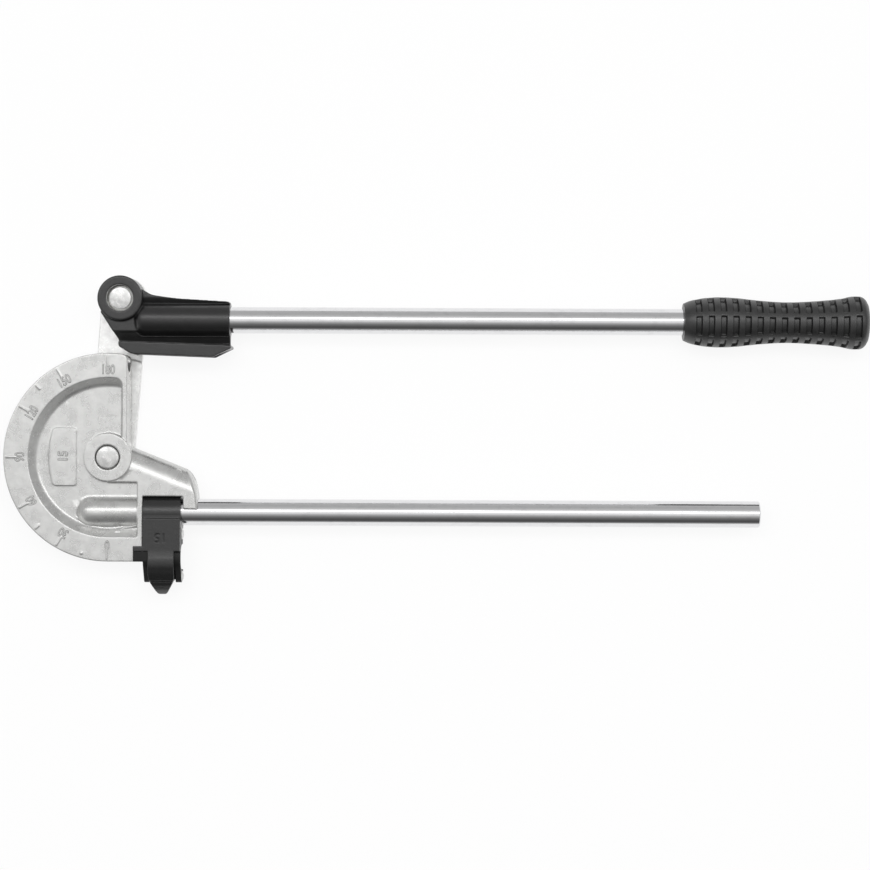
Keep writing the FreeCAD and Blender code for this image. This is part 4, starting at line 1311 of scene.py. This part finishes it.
@dataclass
class Latch:
    """The latch that holds the work tube: black cover, hook block and two rivets.

    Sizes are in millimetres, and the tongue's places count from the throat, away from the hinge.
    """

    cell: float = 0.24
    passes: int = 2
    figures: Lettering = Lettering(5.4, 0.3, 0.1)
    figure_place: tuple[float, float, float] = (-0.4, -15.0, 12.4)
    throat_drop: float = 27.2
    tongue_half: float = 8.0
    tongue_back: float = -4.0
    tongue_middle: float = -0.2
    front_reach: float = 4.0
    throat_end: float = 13.0
    throat_reach: float = 2.0
    tongue_lift: Stops = (
        (-5.1, 0.0), (-4.0, -0.35), (-1.1, -0.7), (0.5, -0.56), (2.1, -0.35), (5.1, 0.23), (7.6, 0.86),
        (10.2, 2.26), (11.0, 2.85), (12.9, 4.5), (14.5, 5.8), (15.3, 6.1), (16.2, 5.9), (18.0, 4.6),
        (20.0, 2.8), (21.3, 1.2), (22.3, -0.2))
    tongue_width: Stops = ((8.0, 1.0), (11.0, 1.0), (14.3, 0.94), (18.1, 0.89), (21.3, 0.76), (22.3, 0.66))
    hinge: Vector = field(default_factory=lambda: joint_place("latch_swing"))

    def build(self) -> None:
        """Make the cover with its engraved size, the block and the rivets."""
        spot = self.hinge + Vector(self.figure_place) * MM
        engraving = self.figures.solid("engraving", "15", spot, math.pi)
        cover = cast_copy("latch_cover", "latch_casting", self.cell, self.passes, cutters=(engraving,),
                          shape=self.bend_tongue)
        settle(cover, Body.LATCH, PAINT, "latch_cover")
        block = cast_copy("hook_block", "hook", self.cell, self.passes)
        settle(block, Body.LATCH, BLOCK_WITH_SHADE, "hook_block")
        settle(smooth_copy("latch_rivets", "cross_rivets"), Body.LATCH, RIVET, "latch_rivets")

    def bend_tongue(self, mesh: Mesh) -> None:
        """Give the tongue its long round slope and its narrow tip.

        A point rises by the lift's curve at its distance past the throat, and its distance from the tongue's
        middle is scaled by the width's curve there. Over the throat only the front of the tongue rises.

        Args:
            mesh: the cover's mesh.
        """
        points = mesh_points(mesh)
        past = (self.hinge.y - points[:, 1]) / MM - self.throat_drop
        ahead = (points[:, 2] - self.hinge.z) / MM
        across = (points[:, 0] - self.hinge.x) / MM - self.tongue_middle
        begins = self.tongue_lift[0][0]
        on_tongue = (np.abs(across) < self.tongue_half) & (past > begins) & (ahead > self.tongue_back)
        past_throat = ease((past - self.throat_end) / self.throat_reach)
        share = np.maximum(ease(ahead / self.front_reach), past_throat) * on_tongue
        points[:, 2] += smooth_curve(self.tongue_lift, past) * share * MM
        points[:, 0] += on_tongue * across * (smooth_curve(self.tongue_width, past) - 1) * MM
        place_points(mesh, points)


@dataclass
class Studio:
    """Camera, pale floor and soft light.

    Lengths are in metres, but the sensor and the aim, which counts from the die's pivot, are in millimetres.
    The roll is in degrees. The room holds the light's level from the near side, at 0, over the top, at 0.5,
    to the far side, at 1.
    """

    camera_height: float = 1.4
    camera_end: float = 20.0
    focal_pixels: float = 2325.0
    frame_pixels: float = 870.0
    sensor: float = 36.0
    roll: float = 0.26
    aim: tuple[float, float, float] = (195.85, 13.33, 0.0)
    floor_half: float = 3.0
    floor_shade: float = 0.9
    floor_white: float = 0.88
    lamp_size: Pair = (1.2, 0.7)
    lamp_place: tuple[float, float, float] = (0.0, 0.25, 1.6)
    lamp_power: float = 12.0
    room: Stops = (
        (0.0, 0.8), (0.028, 0.38), (0.089, 0.12), (0.144, 0.08), (0.2, 0.10), (0.3, 0.19), (0.4, 0.44),
        (0.494, 0.92), (0.56, 1.0), (0.583, 3.3), (0.61, 3.3), (0.633, 0.9), (0.733, 0.52), (0.839, 0.46),
        (1.0, 0.52))
    room_level: float = 3.3
    room_end: float = 0.45
    end_share: Stops = ((0.4, 0.0), (0.85, 1.0))

    def camera(self) -> None:
        """Camera straight above, rolled as the photograph is."""
        roll = math.radians(self.roll)
        data = bpy.data.cameras.new("camera")
        data.sensor_width = self.sensor
        data.lens = self.sensor * self.focal_pixels / self.frame_pixels
        data.clip_end = self.camera_end
        camera = link_object("camera", data)
        aim = joint_place("link_pivot") + Matrix.Rotation(roll, 3, "Z") @ (Vector(self.aim) * MM)
        camera.location = aim + Vector((0.0, 0.0, self.camera_height))
        camera.rotation_euler = (0.0, 0.0, roll)
        bpy.context.scene.camera = camera

    def floor(self) -> None:
        """Pale matt floor that stays white to the camera and keeps a soft shadow."""
        ends = (-self.floor_half, self.floor_half)
        corners = np.array([[(x, y, 0.0) for y in ends] for x in ends])
        floor = link_object("floor", grid_mesh("floor", corners, False, False))
        material = bpy.data.materials.new("floor")
        graph = Graph(material)
        path = graph.add("LightPath")
        seen = graph.math("MAXIMUM", path.outputs["Is Camera Ray"], path.outputs["Is Glossy Ray"])
        matt = graph.add("BsdfDiffuse", Color=(self.floor_shade, self.floor_shade, self.floor_shade, 1.0))
        white = graph.add("Emission", Color=(1.0, 1.0, 1.0, 1.0), Strength=1.0)
        both = graph.add("MixShader", Fac=graph.math("MULTIPLY", seen, self.floor_white))
        graph.feed(both, 1, matt.outputs[0])
        graph.feed(both, 2, white.outputs[0])
        graph.add("OutputMaterial", Surface=both.outputs[0])
        floor.data.materials.append(material)

    def world(self) -> None:
        """Soft room: a bright band overhead, a dark near side, a grey far side, and white to the camera."""
        world = bpy.data.worlds.new("room")
        bpy.context.scene.world = world
        graph = Graph(world)
        path = graph.add("LightPath")
        toward = graph.add("SeparateXYZ", Vector=graph.add("TexCoord").outputs["Generated"])
        over = graph.math("ARCTAN2", toward.outputs["Y"], toward.outputs["Z"])
        turn = graph.add("MapRange", Value=over, From_Min=-math.pi / 2, From_Max=math.pi / 2)
        levels = tuple((place, level / self.room_level) for place, level in self.room)
        band = graph.ramp(turn.outputs["Result"], levels)
        aside = graph.ramp(graph.math("ABSOLUTE", toward.outputs["X"]), self.end_share)
        end = self.room_end / self.room_level
        level = graph.mix(aside, band, (end, end, end, 1.0))
        lit = graph.add("Background", Color=level, Strength=self.room_level)
        white = graph.add("Background", Color=(1.0, 1.0, 1.0, 1.0), Strength=1.0)
        shown = graph.add("MixShader", Fac=path.outputs["Is Camera Ray"])
        graph.feed(shown, 1, lit.outputs[0])
        graph.feed(shown, 2, white.outputs[0])
        graph.add("OutputWorld", Surface=shown.outputs[0])

    def overhead(self) -> None:
        """Broad lamp overhead that lights the matt surfaces and isn't mirrored."""
        data = bpy.data.lights.new("overhead", "AREA")
        data.shape = "RECTANGLE"
        data.size, data.size_y = self.lamp_size
        data.energy = self.lamp_power
        lamp = link_object("overhead", data)
        lamp.visible_glossy = False
        lamp.visible_camera = False
        lamp.location = self.lamp_place
        lamp.rotation_euler = (-Vector(self.lamp_place)).to_track_quat("-Z", "Y").to_euler()

    def build(self) -> None:
        """Set up the studio."""
        self.camera()
        self.floor()
        self.world()
        self.overhead()
        bpy.context.scene.view_settings.view_transform = "Standard"


def main() -> None:
    """Build every sub-assembly, then the studio."""
    logging.basicConfig(level=logging.INFO, format="%(name)s: %(message)s")
    for part in (FormDie(), Tubes(), Linkage(), LeverHead(), Grip(), Latch(), Studio()):
        part.build()


if __name__ == "__main__":
    main()
